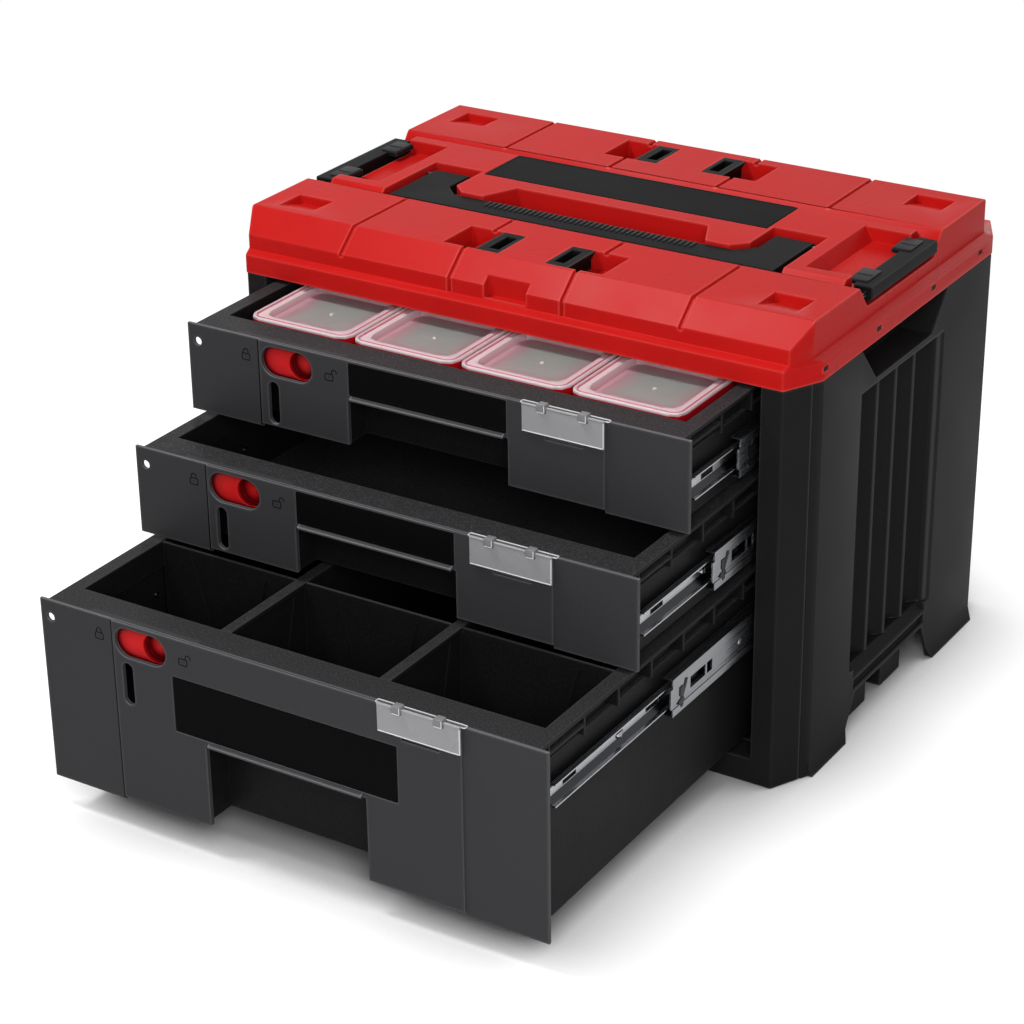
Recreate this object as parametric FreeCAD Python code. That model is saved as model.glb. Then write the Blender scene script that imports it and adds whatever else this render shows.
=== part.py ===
"""Stackable tool case: a black case with a red lid and three drawers on ball-bearing slides.

Millimetres. +X is to the right of someone facing the drawers, +Y runs from front to back, +Z is up.
The origin lies on the floor, under the middle of the front sill's outer face.
The drawers are drawn partly open, each by its own distance.
"""
import FreeCAD, Part
import math
import os

V = FreeCAD.Vector

# Case body
SIDE_HALF = 219.0           # half the width over the side faces
CASE_DEPTH = 316.0
SIDE_WALL = 29.7            # from a side face to the opening for the drawers
CORNER_SLANT = 14.0         # how much narrower the front face is, on each side
CORNER_RUN = 28.0           # depth of the slanted vertical corners
FRAME_DEPTH = 21.0          # depth of the front frame, and of the corner posts at the back
SEAM = 1.2                  # open joint line between the front frame and a side wall
SILL_TOP = 18.5
SKIN = 3.0                  # wall of the case mouldings
BACK_WALL = 6.0
BASE_BOTTOM = 16.0          # underside of the floor plate, which butts against the sill
RIB = 3.0
BASE_RIB_DROP = 9.0
BASE_RIB_PITCH = 75.0
FRONT_HALF = SIDE_HALF - CORNER_SLANT
OPENING_HALF = SIDE_HALF - SIDE_WALL

# Drawer fronts, from the sill upwards
DEEP_HEIGHT = 130.5
MIDDLE_HEIGHT = 62.0
TOP_HEIGHT = 61.5
STACK_BOTTOM = 20.2         # height of the lowest front's lower edge
STACK_GAP = 3.6             # between two fronts
STACK_HEADROOM = 3.1        # between the highest front and the lid
DEEP_BOTTOM = STACK_BOTTOM
DEEP_TOP = DEEP_BOTTOM + DEEP_HEIGHT
MIDDLE_BOTTOM = DEEP_TOP + STACK_GAP
MIDDLE_TOP = MIDDLE_BOTTOM + MIDDLE_HEIGHT
TOP_BOTTOM = MIDDLE_TOP + STACK_GAP
TOP_TOP = TOP_BOTTOM + TOP_HEIGHT
CASE_TOP = TOP_TOP + STACK_HEADROOM

# Telescopic slides: three nested channels of sheet steel
SLIDE_THICK = 11.5          # room between a tray and the side wall
RAIL_DOWN = 38.0            # from a front's top to the middle of its slides
RAIL_SETBACK = 24.0         # from the case's face to the two members nearest the wall
RAIL_BACK = 37.0            # from those members to the back of the case
INNER_RAIL_SETBACK = 16.0
OVERTRAVEL = 5.0            # a drawer opens this much further than a member is long
SHEET = 1.2
INNER_HALF_HEIGHT = 8.0
MIDDLE_HALF_HEIGHT = 13.4
OUTER_HALF_HEIGHT = 17.5
WEB_AIR = 0.9
FLANGE_AIR = 2.0
WEB_FLAT_HALF = 2.8         # flat strip along the middle of the member on the tray
WEB_SLOPE_OUT = 2.6         # how far its web leans out above and below that strip
SLOT_HALF_HEIGHT = 2.0      # slots in that strip
STRIP_SLOTS = ((16.5, 32.0), (115.0, 131.0))  # start and end of those slots
WEB_HOLES = ((22.5, 42.0), (44.0, 51.0))     # start and end of the holes in the middle member
WEB_HOLE_LOW = 2.6          # below the slide's middle
WEB_HOLE_HIGH = 5.1
WEB_BEAD_DOWN = 8.0         # pressed bead along the middle member
WEB_BEAD_HEIGHT = 3.0
WEB_BEAD_DEPTH = 0.5
TONGUE_REACH = 2.5          # catch tongue at the middle member's front end
TONGUE_HALF = 7.0
CAGE_AIR = 0.3
CAGE_LENGTH = 70.0
CAGE_INSET = 8.0
RAIL_LENGTH = CASE_DEPTH - RAIL_SETBACK - RAIL_BACK
TRAVEL = RAIL_LENGTH + OVERTRAVEL

# Each drawer: name, lower and upper edge of its front, distance it stands open
DRAWERS = (
    ("bottom", DEEP_BOTTOM, DEEP_TOP, 0.974 * TRAVEL),
    ("middle", MIDDLE_BOTTOM, MIDDLE_TOP, 0.578 * TRAVEL),
    ("top", TOP_BOTTOM, TOP_TOP, 0.3415 * TRAVEL),
)

# Fluted panel in each side wall
FIELD_OFFSET = 8.5          # the panel's middle lies this far in front of the case's middle
FIELD_HALF = 56.5
FIELD_BOTTOM = 50.0
FIELD_DOWN = 30.5           # from the lid to the panel's top
FIELD_SINK = 4.0            # how far the ridges stand behind the side face
FIELD_SLOPE = 8.0           # run of the slope from the side face into the panel
FLUTES = 4
FLUTE_DEPTH = 14.5          # from the side face to the bottom of a flute
BACK_FLUTES = 9
BACK_FIELD_IN = 39.3        # from the opening's edge to the first flute at the back
BACK_FLUTE_DEPTH = 3.0
FIELD_MID = CASE_DEPTH / 2 - FIELD_OFFSET
FIELD_FRONT = FIELD_MID - FIELD_HALF
FIELD_BACK = FIELD_MID + FIELD_HALF
FIELD_TOP = CASE_TOP - FIELD_DOWN
BACK_FIELD_HALF = OPENING_HALF - BACK_FIELD_IN

# Hand recess in each side wall, under the lid
RECESS_HEIGHT = 26.5
RECESS_HALF_LOW = 43.0
RECESS_HALF_HIGH = 66.0
RECESS_DEPTH = 23.0
RECESS_BOTTOM = CASE_TOP - RECESS_HEIGHT

# Feet and the stacking ledge between them
FLARE = 3.0
FLARE_HEIGHT = 9.0
ARCH_TOP = 31.0
ARCH_HALF_LOW = 70.5
ARCH_HALF_HIGH = 54.0
LEDGE_CHAMFER = 6.0
LEDGE_GROOVE = 3.0
LEDGE_LIP = 3.0
LUG_OFFSET = 28.0           # along the case, from the middle to each stacking lug
LUG_LENGTH = 32.0
LUG_WIDTH = 12.0
LUG_INSET = 11.0            # from the side face to the lug
LUG_BOTTOM = 1.0

# Lid
LID_HEIGHT = 40.5
RIM_HEIGHT = 13.0
RIM_RISE = 2.5              # slope from the rim up to the foot of the crown
RIM_OVERHANG = 1.0          # the rim stands this far in front of and behind the case
CROWN_INSET = 5.0           # from a side face to the crown's side
CROWN_FRONT = 5.0
CROWN_BACK_IN = 16.0
CROWN_CORNER = 8.0          # how much narrower the crown is at its front and back
BEVEL_RUN = 17.5
BEVEL_DROP = 15.0
LID_SKIN = 3.5
BAND_SHARE = 0.4305         # share of the crown's half-length that lies between the two bands
BAND_GROOVE = 10.0
BAND_GROOVE_DEPTH = 5.0
CREASE = 3.0                # width of the creases across the bands
CREASE_DEPTH = 2.0
CREASE_OUTER_IN = 84.5      # from the crown's side
CREASE_INNER = 43.0
THUMB_HALF = 16.0
THUMB_DEPTH = 6.0
THUMB_UP = 4.0
SNAP_HALF = 3.5             # small snap windows along the rim's sides
SNAP_HEIGHT = 3.5
SNAP_DEPTH = 2.5
SNAP_DOWN = 5.5
SNAP_NEAR = 42.0
SNAP_FAR_IN = 39.0
LID_TOP = CASE_TOP + LID_HEIGHT
RIM_TOP = CASE_TOP + RIM_HEIGHT
CROWN_HALF = SIDE_HALF - CROWN_INSET
CROWN_BACK = CASE_DEPTH - CROWN_BACK_IN
CROWN_HALF_LENGTH = (CROWN_BACK - CROWN_FRONT) / 2
BAND_INNER = BAND_SHARE * CROWN_HALF_LENGTH
CREASE_OUTER = CROWN_HALF - CREASE_OUTER_IN
THUMB_BOTTOM = RIM_TOP + THUMB_UP

# Pockets and catches in the lid's bands
CORNER_POCKET_IN = 30.0     # from the crown's side
CORNER_POCKET_HALF = 14.0
CORNER_POCKET_BACK = 40.5   # from the crown's front or back
CORNER_POCKET_LENGTH = 26.0
CORNER_POCKET_DEPTH = 6.5
CATCH_IN = 18.0
CATCH_OUT = 32.0
CATCH_POCKET_OUT = 61.0
CATCH_BACK = 42.0           # from the crown's front or back
CATCH_LENGTH = 36.0
CATCH_DEPTH = 13.0
CATCH_HOOK = 3.5
CATCH_WALL = 3.0
CORNER_POCKET_X = CROWN_HALF - CORNER_POCKET_IN
CORNER_POCKET_Y = CROWN_HALF_LENGTH - CORNER_POCKET_BACK
CATCH_Y = CROWN_HALF_LENGTH - CATCH_BACK

# Carry handle
GRIP_IN = 65.0              # from the crown's side
GRIP_SETBACK = 6.0          # behind the front band
GRIP_WIDTH = 22.0
GRIP_THICK = 10.5
ARM_WIDTH = 28.0
ARM_THICK = 9.0
ARM_LENGTH = 58.0           # from the grip's front to the pivot
ARM_GUSSET = 12.0
HANDLE_SINK = 2.0           # the handle lies this far under the lid's top
HANDLE_ROOM = 6.0           # beside the arms
HANDLE_GAP = 2.0            # in front of the grip
HANDLE_UNDER = 2.0          # under the grip
HANDLE_PIN_R = 2.5
PIN_PLAY = 0.05
PIN_REACH = 6.0             # how far a handle pin goes into the arm
FINGER_DEPTH = 22.0
FINGER_IN = 74.0            # from the handle's end
FINGER_SPLAY = 12.0
FINGER_LENGTH = 50.0        # from the grip's front to the back of the finger room
GRIP_HALF = CROWN_HALF - GRIP_IN
GRIP_FRONT = FIELD_MID - BAND_INNER + GRIP_SETBACK
HANDLE_PIVOT_Y = GRIP_FRONT + ARM_LENGTH
HANDLE_TOP = LID_TOP - HANDLE_SINK
HANDLE_PIVOT_Z = HANDLE_TOP - ARM_THICK / 2
HANDLE_FLOOR = HANDLE_TOP - GRIP_THICK - HANDLE_UNDER
FINGER_FLOOR = LID_TOP - FINGER_DEPTH
FINGER_HALF = GRIP_HALF - FINGER_IN
FINGER_BACK = GRIP_FRONT + FINGER_LENGTH

# Bed for the plate behind the handle
PLATE_IN = 102.0            # from the crown's side
PLATE_SETBACK = 6.0         # behind the handle's pivot
PLATE_MARGIN = 9.0          # in front of the back band
PLATE_SINK = 0.8
PLATE_HALF = CROWN_HALF - PLATE_IN
PLATE_FRONT = HANDLE_PIVOT_Y + PLATE_SETBACK
PLATE_BACK = FIELD_MID + BAND_INNER - PLATE_MARGIN

# Stack latches at the lid's sides
LATCH_HALF = 50.0
LATCH_WIDTH = 13.5
LATCH_PROUD = 2.5
LATCH_HEIGHT = 10.5
LATCH_SINK = 3.0
LATCH_PIVOT_IN = 5.0
LATCH_PIVOT_DOWN = 5.5
LATCH_PIN_R = 1.5
LATCH_TAB_OUT = 43.5        # from the middle to a tab's far edge
LATCH_TAB_LENGTH = 22.5
LATCH_TAB_REACH = 7.0
LATCH_TAB_THICK = 3.0
LATCH_GAP = 1.0
NOTCH_ROOM = 2.5            # under the latch
NOTCH_SLANT = 12.0
THUMB_POCKET_REACH = 48.0   # from the crown's side
THUMB_POCKET_HALF = 43.5
THUMB_POCKET_DEPTH = 10.0
THUMB_POCKET_SLOPE = 6.0
LATCH_OUT = CROWN_HALF + LATCH_PROUD
LATCH_TOP = LID_TOP - LATCH_SINK
LATCH_PIVOT_X = LATCH_OUT - LATCH_PIVOT_IN
LATCH_PIVOT_Z = LATCH_TOP - LATCH_PIVOT_DOWN
NOTCH_FLOOR = LATCH_TOP - LATCH_HEIGHT - NOTCH_ROOM
THUMB_POCKET_IN = CROWN_HALF - THUMB_POCKET_REACH

# Front panels
PANEL_THICK = 3.0
PANEL_GAP = 0.8             # between a panel and the front frame
WING_WIDTH = 58.5
WING_SETBACK = 1.0
WING_DROP = 2.5             # the end wings reach lower than the centre
STRIP_INSET = 1.0           # inside the grip's width
STRIP_TOP = 1.5
STRIP_SINK = 0.6
SHALLOW_GRIP_TOP = 27.0     # below the panel's top, on the two shallow drawers
DEEP_GRIP_TOP = 69.7
GRIP_CUT_IN = 69.5          # from the centre's edge to the hand grip
LIP_INSET = 2.5             # inside the grip's width
LIP_PROUD = 2.2
LIP_HEIGHT = 2.8
LIP_EDGE = 1.2
NAME_PLATE_TOP = 26.7
NAME_PLATE_HEIGHT = 39.5
NAME_PLATE_IN = 46.0        # from the centre's edge
TIE_HOLE_IN = 7.7
TIE_HOLE_DOWN = 12.0
TIE_HOLE_R = 3.0
SLOT_IN = 10.5              # from the centre's edge
SLOT_HALF_WIDTH = 4.2
SLOT_TOP = 27.7
SLOT_LENGTH = 30.0
PANEL_HALF = OPENING_HALF - PANEL_GAP
PANEL_CENTRE_HALF = PANEL_HALF - WING_WIDTH
TIE_HOLE_X = PANEL_HALF - TIE_HOLE_IN
SLOT_X = PANEL_CENTRE_HALF - SLOT_IN
GRIP_CUT_HALF = PANEL_CENTRE_HALF - GRIP_CUT_IN
STRIP_HALF = GRIP_CUT_HALF - STRIP_INSET
LIP_HALF = GRIP_CUT_HALF - LIP_INSET
NAME_PLATE_HALF = PANEL_CENTRE_HALF - NAME_PLATE_IN

# Trays
TRAY_BACK_GAP = 24.0        # behind a tray when its drawer is shut
TRAY_RAISE = 4.8            # the tray's underside is this far above the deep panel's bottom
TRAY_RAISE_SHALLOW = 1.8
TRAY_WALL = 2.5
TRAY_SHOULDER = 5.8         # from the wall that carries the slides to the mouth's edge
RIM_GAP = 6.3               # between the rim and the side wall
RIM_THICK = 2.5
RIM_FRONT = 25.0            # from the panel's face to the tray's inside
SHOULDER_DOWN = 16.0        # the wall steps out this far under the rim
CELL_PITCH = 40.0
CELL_FIRST = 12.0
CELL_RIB = 2.0
CELL_BAR_DOWN = 8.0
CHEEK_GAP = 1.5             # beside the grip's cut-out
DIVIDER_SHARE = 0.3459      # share of the mouth's half-width where a partition stands
DIVIDER_THICK = 3.0
DIVIDER_TOP_WIDTH = 8.0
CROSS_SETBACK = 104.0       # from the deep drawer's face to the walls across it
CROSS_THICK = 2.0
SEAT_GAP = 0.2
TRAY_LENGTH = CASE_DEPTH - TRAY_BACK_GAP
TRAY_HALF = OPENING_HALF - SLIDE_THICK
RIM_HALF = OPENING_HALF - RIM_GAP
RIM_INNER = TRAY_HALF - TRAY_SHOULDER
CHEEK_X = GRIP_CUT_HALF + CHEEK_GAP
DIVIDER_X = DIVIDER_SHARE * RIM_INNER

# Lock sliders
LOCK_DOWN = 13.5            # below the panel's top
LOCK_WINDOW_IN = 1.5        # from the centre's edge
LOCK_WINDOW_LENGTH = 40.5
LOCK_WINDOW_HALF = 10.5
LOCK_TRAVEL = 19.0
LOCK_PLATE_HALF = 12.0
LOCK_PLATE_THICK = 3.0
LOCK_CLEAR = 0.3
LOCK_CUP_R = 9.6
LOCK_CUP_WALL = 1.0
LOCK_CUP_DEPTH = 5.2
LOCK_BOLT_SHORT = 0.6       # the open lock's bolt ends this far short of the tie hole
LOCK_BOLT_HALF = 4.0
LOCK_GUIDE = 2.0
LOCK_WINDOW_LEFT = PANEL_CENTRE_HALF - LOCK_WINDOW_IN
LOCK_WINDOW_RIGHT = LOCK_WINDOW_LEFT - LOCK_WINDOW_LENGTH
LOCK_BOLT_END = TIE_HOLE_X - TIE_HOLE_R - LOCK_BOLT_SHORT

# Label holders
LABEL_OVER = 0.5            # past the centre's edge
LABEL_WIDTH = 58.5
LABEL_HEIGHT = 18.0
LABEL_COVER_THICK = 1.0
LABEL_COVER_OUT = 1.0       # air between the panel and the cover
LABEL_ROD_R = 0.92
LABEL_EAR_PLAY = 0.08
LABEL_EAR_WALL = 1.2
LABEL_EAR_INSET = 12.0
LABEL_EAR_WIDTH = 5.0
LABEL_ROD_UP = 0.3
LABEL_CARD_THICK = 0.5
LABEL_CARD_INSET = 2.0
LABEL_NOTCH_IN = 16.0       # finger notch in the panel under the cover's lower edge
LABEL_NOTCH_HEIGHT = 4.5
LABEL_NOTCH_DROP = 3.5
LABEL_NOTCH_DEPTH = 2.0
LABEL_RIGHT = PANEL_CENTRE_HALF + LABEL_OVER
LABEL_LEFT = LABEL_RIGHT - LABEL_WIDTH

# Small-parts bins in the top drawer
BIN_COLUMNS = 4
BIN_ROWS = 3
BIN_GAP = 2.7
BIN_MARGIN = 14.4           # left over across the tray
BIN_FRONT = 33.0            # from the panel's face
BIN_BACK = 13.0             # from the last bins to the back of the tray
BIN_WALL = 1.6
BIN_TAPER = 3.0
BIN_CORNER = 9.0
BIN_CORNER_SIDES = 2        # short sides that round off each corner
BIN_LID_DOWN = 2.0          # the lids lie this far under the panel's top
BIN_LID_THICK = 1.5
BIN_LID_BORDER = 6.0
BIN_LID_SINK = 4.5
BIN_PITCH_X = (2 * RIM_INNER - BIN_MARGIN) / BIN_COLUMNS
BIN_PITCH_Y = (TRAY_LENGTH - BIN_FRONT - BIN_BACK) / BIN_ROWS
BIN_WIDTH = BIN_PITCH_X - BIN_GAP
BIN_LENGTH = BIN_PITCH_Y - BIN_GAP

SPAN = 2 * CASE_DEPTH       # longer than any cut needs to be


def prism(points, axis, start, end):
    """A prism along an axis. Points are (y, z) along x, (x, z) along y and (x, y) along z."""
    place = {
        "x": lambda a, b: V(start, a, b),
        "y": lambda a, b: V(a, start, b),
        "z": lambda a, b: V(a, b, start),
    }[axis]
    direction = {"x": V(1, 0, 0), "y": V(0, 1, 0), "z": V(0, 0, 1)}[axis]
    corners = [place(a, b) for a, b in points]
    face = Part.Face(Part.makePolygon(corners + corners[:1]))
    return face.extrude(direction * (end - start))


def box(x0, x1, y0, y1, z0, z1):
    return Part.makeBox(x1 - x0, y1 - y0, z1 - z0, V(x0, y0, z0))


def rod(axis, centre, radius, start, end):
    """A cylinder along an axis, from start to end; centre holds its other two coordinates."""
    a, b = centre
    base, direction = {
        "x": (V(start, a, b), V(1, 0, 0)),
        "y": (V(a, start, b), V(0, 1, 0)),
        "z": (V(a, b, start), V(0, 0, 1)),
    }[axis]
    return Part.makeCylinder(radius, end - start, base, direction)


def mirrored(shape):
    return shape.mirror(V(0, 0, 0), V(1, 0, 0))


def both_sides(shapes):
    return list(shapes) + [mirrored(shape) for shape in shapes]


def from_front(shape):
    """The same shape turned to the back of the lid, about the field's middle."""
    return shape.mirror(V(0, FIELD_MID, 0), V(0, 1, 0))


def cleaned(shape):
    return shape.removeSplitter()


def save(name, shape):
    shape.exportStep("parts/%s.step" % name)


def corner_x(depth):
    """Half-width of the case on its slanted corner, at a depth behind the front face."""
    return FRONT_HALF + (SIDE_HALF - FRONT_HALF) * depth / CORNER_RUN


def octagon(half, front, back, narrow, run, height):
    """Closed outline with four slanted corners, in a level plane."""
    xs = (half - narrow, half, half, half - narrow)
    ys = (front, front + run, back - run, back)
    right = [V(x, y, height) for x, y in zip(xs, ys)]
    left = [V(-point.x, point.y, height) for point in reversed(right)]
    points = right + left
    return Part.makePolygon(points + points[:1])


# Case mouldings

def lock_heights():
    return [top - LOCK_DOWN for _, _, top, _ in DRAWERS]


def front_frame():
    """Two posts with slanted outer corners on a sill, and a keeper slot for each lock bolt."""
    section = (
        (OPENING_HALF, 0.0),
        (FRONT_HALF, 0.0),
        (corner_x(FRAME_DEPTH), FRAME_DEPTH),
        (OPENING_HALF, FRAME_DEPTH),
    )
    post = prism(section, "z", 0.0, CASE_TOP)
    sill = box(-OPENING_HALF, OPENING_HALF, 0.0, FRAME_DEPTH, 0.0, SILL_TOP)
    frame = post.fuse([mirrored(post), sill])
    bolt_front = PANEL_THICK
    bolt_back = PANEL_THICK + LOCK_PLATE_THICK + 2 * LOCK_CLEAR
    half = LOCK_BOLT_HALF + 2 * LOCK_CLEAR
    slot_end = LOCK_BOLT_END + LOCK_TRAVEL + 2 * LOCK_CLEAR
    keepers = [
        box(-slot_end, -OPENING_HALF + 1.0, bolt_front, bolt_back, height - half, height + half)
        for height in lock_heights()
    ]
    return cleaned(frame.cut(keepers))


def flute_cuts():
    """Upright half-round flutes side by side across the sunk field."""
    pitch = 2 * FIELD_HALF / FLUTES
    depth = FLUTE_DEPTH - FIELD_SINK
    radius = (pitch ** 2 / 4 + depth ** 2) / (2 * depth)
    centre_x = SIDE_HALF - FLUTE_DEPTH + radius
    return [
        rod("z", (centre_x, FIELD_FRONT + pitch * (index + 0.5)), radius, FIELD_BOTTOM, FIELD_TOP)
        for index in range(FLUTES)
    ]


def side_core():
    """The hollow inside a side wall, open at the feet."""
    inner = OPENING_HALF + SKIN
    front = FRAME_DEPTH + SKIN
    back = CASE_DEPTH - front
    outer = SIDE_HALF - SKIN
    neck = SIDE_HALF - FLUTE_DEPTH - SKIN
    pillars = [
        box(inner, outer, front + CORNER_RUN / 4, FIELD_FRONT - SKIN, -1.0, CASE_TOP - SKIN),
        box(inner, outer, FIELD_BACK + SKIN, back - CORNER_RUN / 4, -1.0, CASE_TOP - SKIN),
    ]
    web = box(inner, neck, FIELD_FRONT - 2 * SKIN, FIELD_BACK + 2 * SKIN, -1.0, FIELD_TOP - SKIN)
    clear_of_recess = box(
        SIDE_HALF - RECESS_DEPTH - SKIN, SPAN,
        FIELD_MID - RECESS_HALF_HIGH - SKIN, FIELD_MID + RECESS_HALF_HIGH + SKIN,
        RECESS_BOTTOM - SKIN, CASE_TOP,
    )
    return pillars[0].fuse([pillars[1], web]).cut(clear_of_recess)


def side_wall():
    """Right side wall: two pillars, a fluted field with a hand recess above and a ledge below."""
    back = CASE_DEPTH - FRAME_DEPTH
    joint = corner_x(FRAME_DEPTH) - SEAM
    section = (
        (OPENING_HALF, FRAME_DEPTH),
        (joint, FRAME_DEPTH),
        (corner_x(FRAME_DEPTH + SEAM), FRAME_DEPTH + SEAM),
        (SIDE_HALF, CORNER_RUN),
        (SIDE_HALF, CASE_DEPTH - CORNER_RUN),
        (corner_x(FRAME_DEPTH + SEAM), back - SEAM),
        (joint, back),
        (OPENING_HALF, back),
    )
    wall = prism(section, "z", 0.0, CASE_TOP)
    flare = prism(
        ((SIDE_HALF - SKIN, 0.0), (SIDE_HALF + FLARE, 0.0), (SIDE_HALF, FLARE_HEIGHT),
         (SIDE_HALF - SKIN, FLARE_HEIGHT)),
        "y", CORNER_RUN, CASE_DEPTH - CORNER_RUN,
    )
    field = prism(
        ((SIDE_HALF + 1.0, FIELD_FRONT - FIELD_SLOPE), (SIDE_HALF, FIELD_FRONT - FIELD_SLOPE),
         (SIDE_HALF - FIELD_SINK, FIELD_FRONT), (SIDE_HALF - FIELD_SINK, FIELD_BACK),
         (SIDE_HALF, FIELD_BACK + FIELD_SLOPE), (SIDE_HALF + 1.0, FIELD_BACK + FIELD_SLOPE)),
        "z", FIELD_BOTTOM, FIELD_TOP,
    )
    recess = prism(
        ((FIELD_MID - RECESS_HALF_LOW, RECESS_BOTTOM), (FIELD_MID + RECESS_HALF_LOW, RECESS_BOTTOM),
         (FIELD_MID + RECESS_HALF_HIGH, CASE_TOP), (FIELD_MID - RECESS_HALF_HIGH, CASE_TOP)),
        "x", SIDE_HALF - RECESS_DEPTH, SPAN,
    )
    ledge_chamfer = prism(
        ((SIDE_HALF - LEDGE_CHAMFER, FIELD_BOTTOM), (SIDE_HALF, FIELD_BOTTOM - LEDGE_CHAMFER),
         (SIDE_HALF + 1.0, FIELD_BOTTOM)),
        "y", FIELD_FRONT, FIELD_BACK,
    )
    ledge_groove = box(
        SIDE_HALF - LEDGE_GROOVE, SPAN, FIELD_FRONT, FIELD_BACK,
        ARCH_TOP + LEDGE_LIP, FIELD_BOTTOM - LEDGE_CHAMFER - LEDGE_LIP,
    )
    arch = prism(
        ((FIELD_MID - ARCH_HALF_LOW, -1.0), (FIELD_MID + ARCH_HALF_LOW, -1.0),
         (FIELD_MID + ARCH_HALF_HIGH, ARCH_TOP), (FIELD_MID - ARCH_HALF_HIGH, ARCH_TOP)),
        "x", OPENING_HALF + SKIN, SPAN,
    )
    cuts = [field, recess, ledge_chamfer, ledge_groove, arch, side_core()] + flute_cuts()
    lug_out = SIDE_HALF - LUG_INSET
    lugs = [
        box(lug_out - LUG_WIDTH, lug_out, FIELD_MID + side * LUG_OFFSET - LUG_LENGTH / 2,
            FIELD_MID + side * LUG_OFFSET + LUG_LENGTH / 2, LUG_BOTTOM, FIELD_BOTTOM - LEDGE_CHAMFER)
        for side in (-1, 1)
    ]
    return cleaned(wall.fuse(flare).cut(cuts).fuse(lugs))


def back_wall():
    """Back panel with two corner posts and a row of shallow upright flutes."""
    front = CASE_DEPTH - FRAME_DEPTH
    inside = CASE_DEPTH - BACK_WALL
    half = corner_x(FRAME_DEPTH)
    section = (
        (-half, front), (-FRONT_HALF, CASE_DEPTH), (FRONT_HALF, CASE_DEPTH), (half, front),
        (OPENING_HALF, front), (OPENING_HALF, inside), (-OPENING_HALF, inside), (-OPENING_HALF, front),
    )
    wall = prism(section, "z", 0.0, CASE_TOP)
    pitch = 2 * BACK_FIELD_HALF / BACK_FLUTES
    radius = (pitch ** 2 / 4 + BACK_FLUTE_DEPTH ** 2) / (2 * BACK_FLUTE_DEPTH)
    centre_y = CASE_DEPTH - BACK_FLUTE_DEPTH + radius
    flutes = [
        rod("z", (-BACK_FIELD_HALF + pitch * (index + 0.5), centre_y), radius, FIELD_BOTTOM, FIELD_TOP)
        for index in range(BACK_FLUTES)
    ]
    return cleaned(wall.cut(flutes))


def base():
    """Floor plate between the walls, with a grid of stiffening ribs underneath."""
    front, back = FRAME_DEPTH, CASE_DEPTH - FRAME_DEPTH
    low = BASE_BOTTOM - BASE_RIB_DROP
    plate = box(-OPENING_HALF, OPENING_HALF, front, back, BASE_BOTTOM, BASE_BOTTOM + SKIN)
    lengthwise = [
        box(x - RIB / 2, x + RIB / 2, front, back, low, BASE_BOTTOM)
        for x in (-2 * BASE_RIB_PITCH, -BASE_RIB_PITCH, 0.0, BASE_RIB_PITCH, 2 * BASE_RIB_PITCH)
    ]
    across = [
        box(-OPENING_HALF, OPENING_HALF, y - RIB / 2, y + RIB / 2, low, BASE_BOTTOM)
        for y in (FIELD_MID - BASE_RIB_PITCH, FIELD_MID, FIELD_MID + BASE_RIB_PITCH)
    ]
    return cleaned(plate.fuse(lengthwise + across))


# Lid

def lid_block():
    """Rim with slanted corners, and the crown on it with a bevel at its front and back."""
    front, back = -RIM_OVERHANG, CASE_DEPTH + RIM_OVERHANG
    narrow = SIDE_HALF - FRONT_HALF
    rim_low = octagon(SIDE_HALF, front, back, narrow, CORNER_RUN, CASE_TOP)
    rim_high = octagon(SIDE_HALF, front, back, narrow, CORNER_RUN, RIM_TOP)
    foot_height = RIM_TOP + RIM_RISE
    corner_run = CROWN_CORNER * CORNER_RUN / narrow
    foot = octagon(CROWN_HALF, CROWN_FRONT, CROWN_BACK, CROWN_CORNER, corner_run, foot_height)
    top = octagon(CROWN_HALF, CROWN_FRONT, CROWN_BACK, CROWN_CORNER, corner_run, LID_TOP)
    rim = Part.makeLoft([rim_low, rim_high], True, True)
    slope = Part.makeLoft([rim_high, foot], True, True)
    crown = Part.makeLoft([foot, top], True, True)
    block = rim.fuse([slope, crown])
    edge = LID_TOP - BEVEL_DROP
    bevels = [
        prism(((CROWN_FRONT, edge), (CROWN_FRONT + BEVEL_RUN, LID_TOP), (CROWN_FRONT, LID_TOP)),
              "x", -SPAN, SPAN),
        prism(((CROWN_BACK, edge), (CROWN_BACK, LID_TOP), (CROWN_BACK - BEVEL_RUN, LID_TOP)),
              "x", -SPAN, SPAN),
    ]
    return block.cut(bevels)


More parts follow.
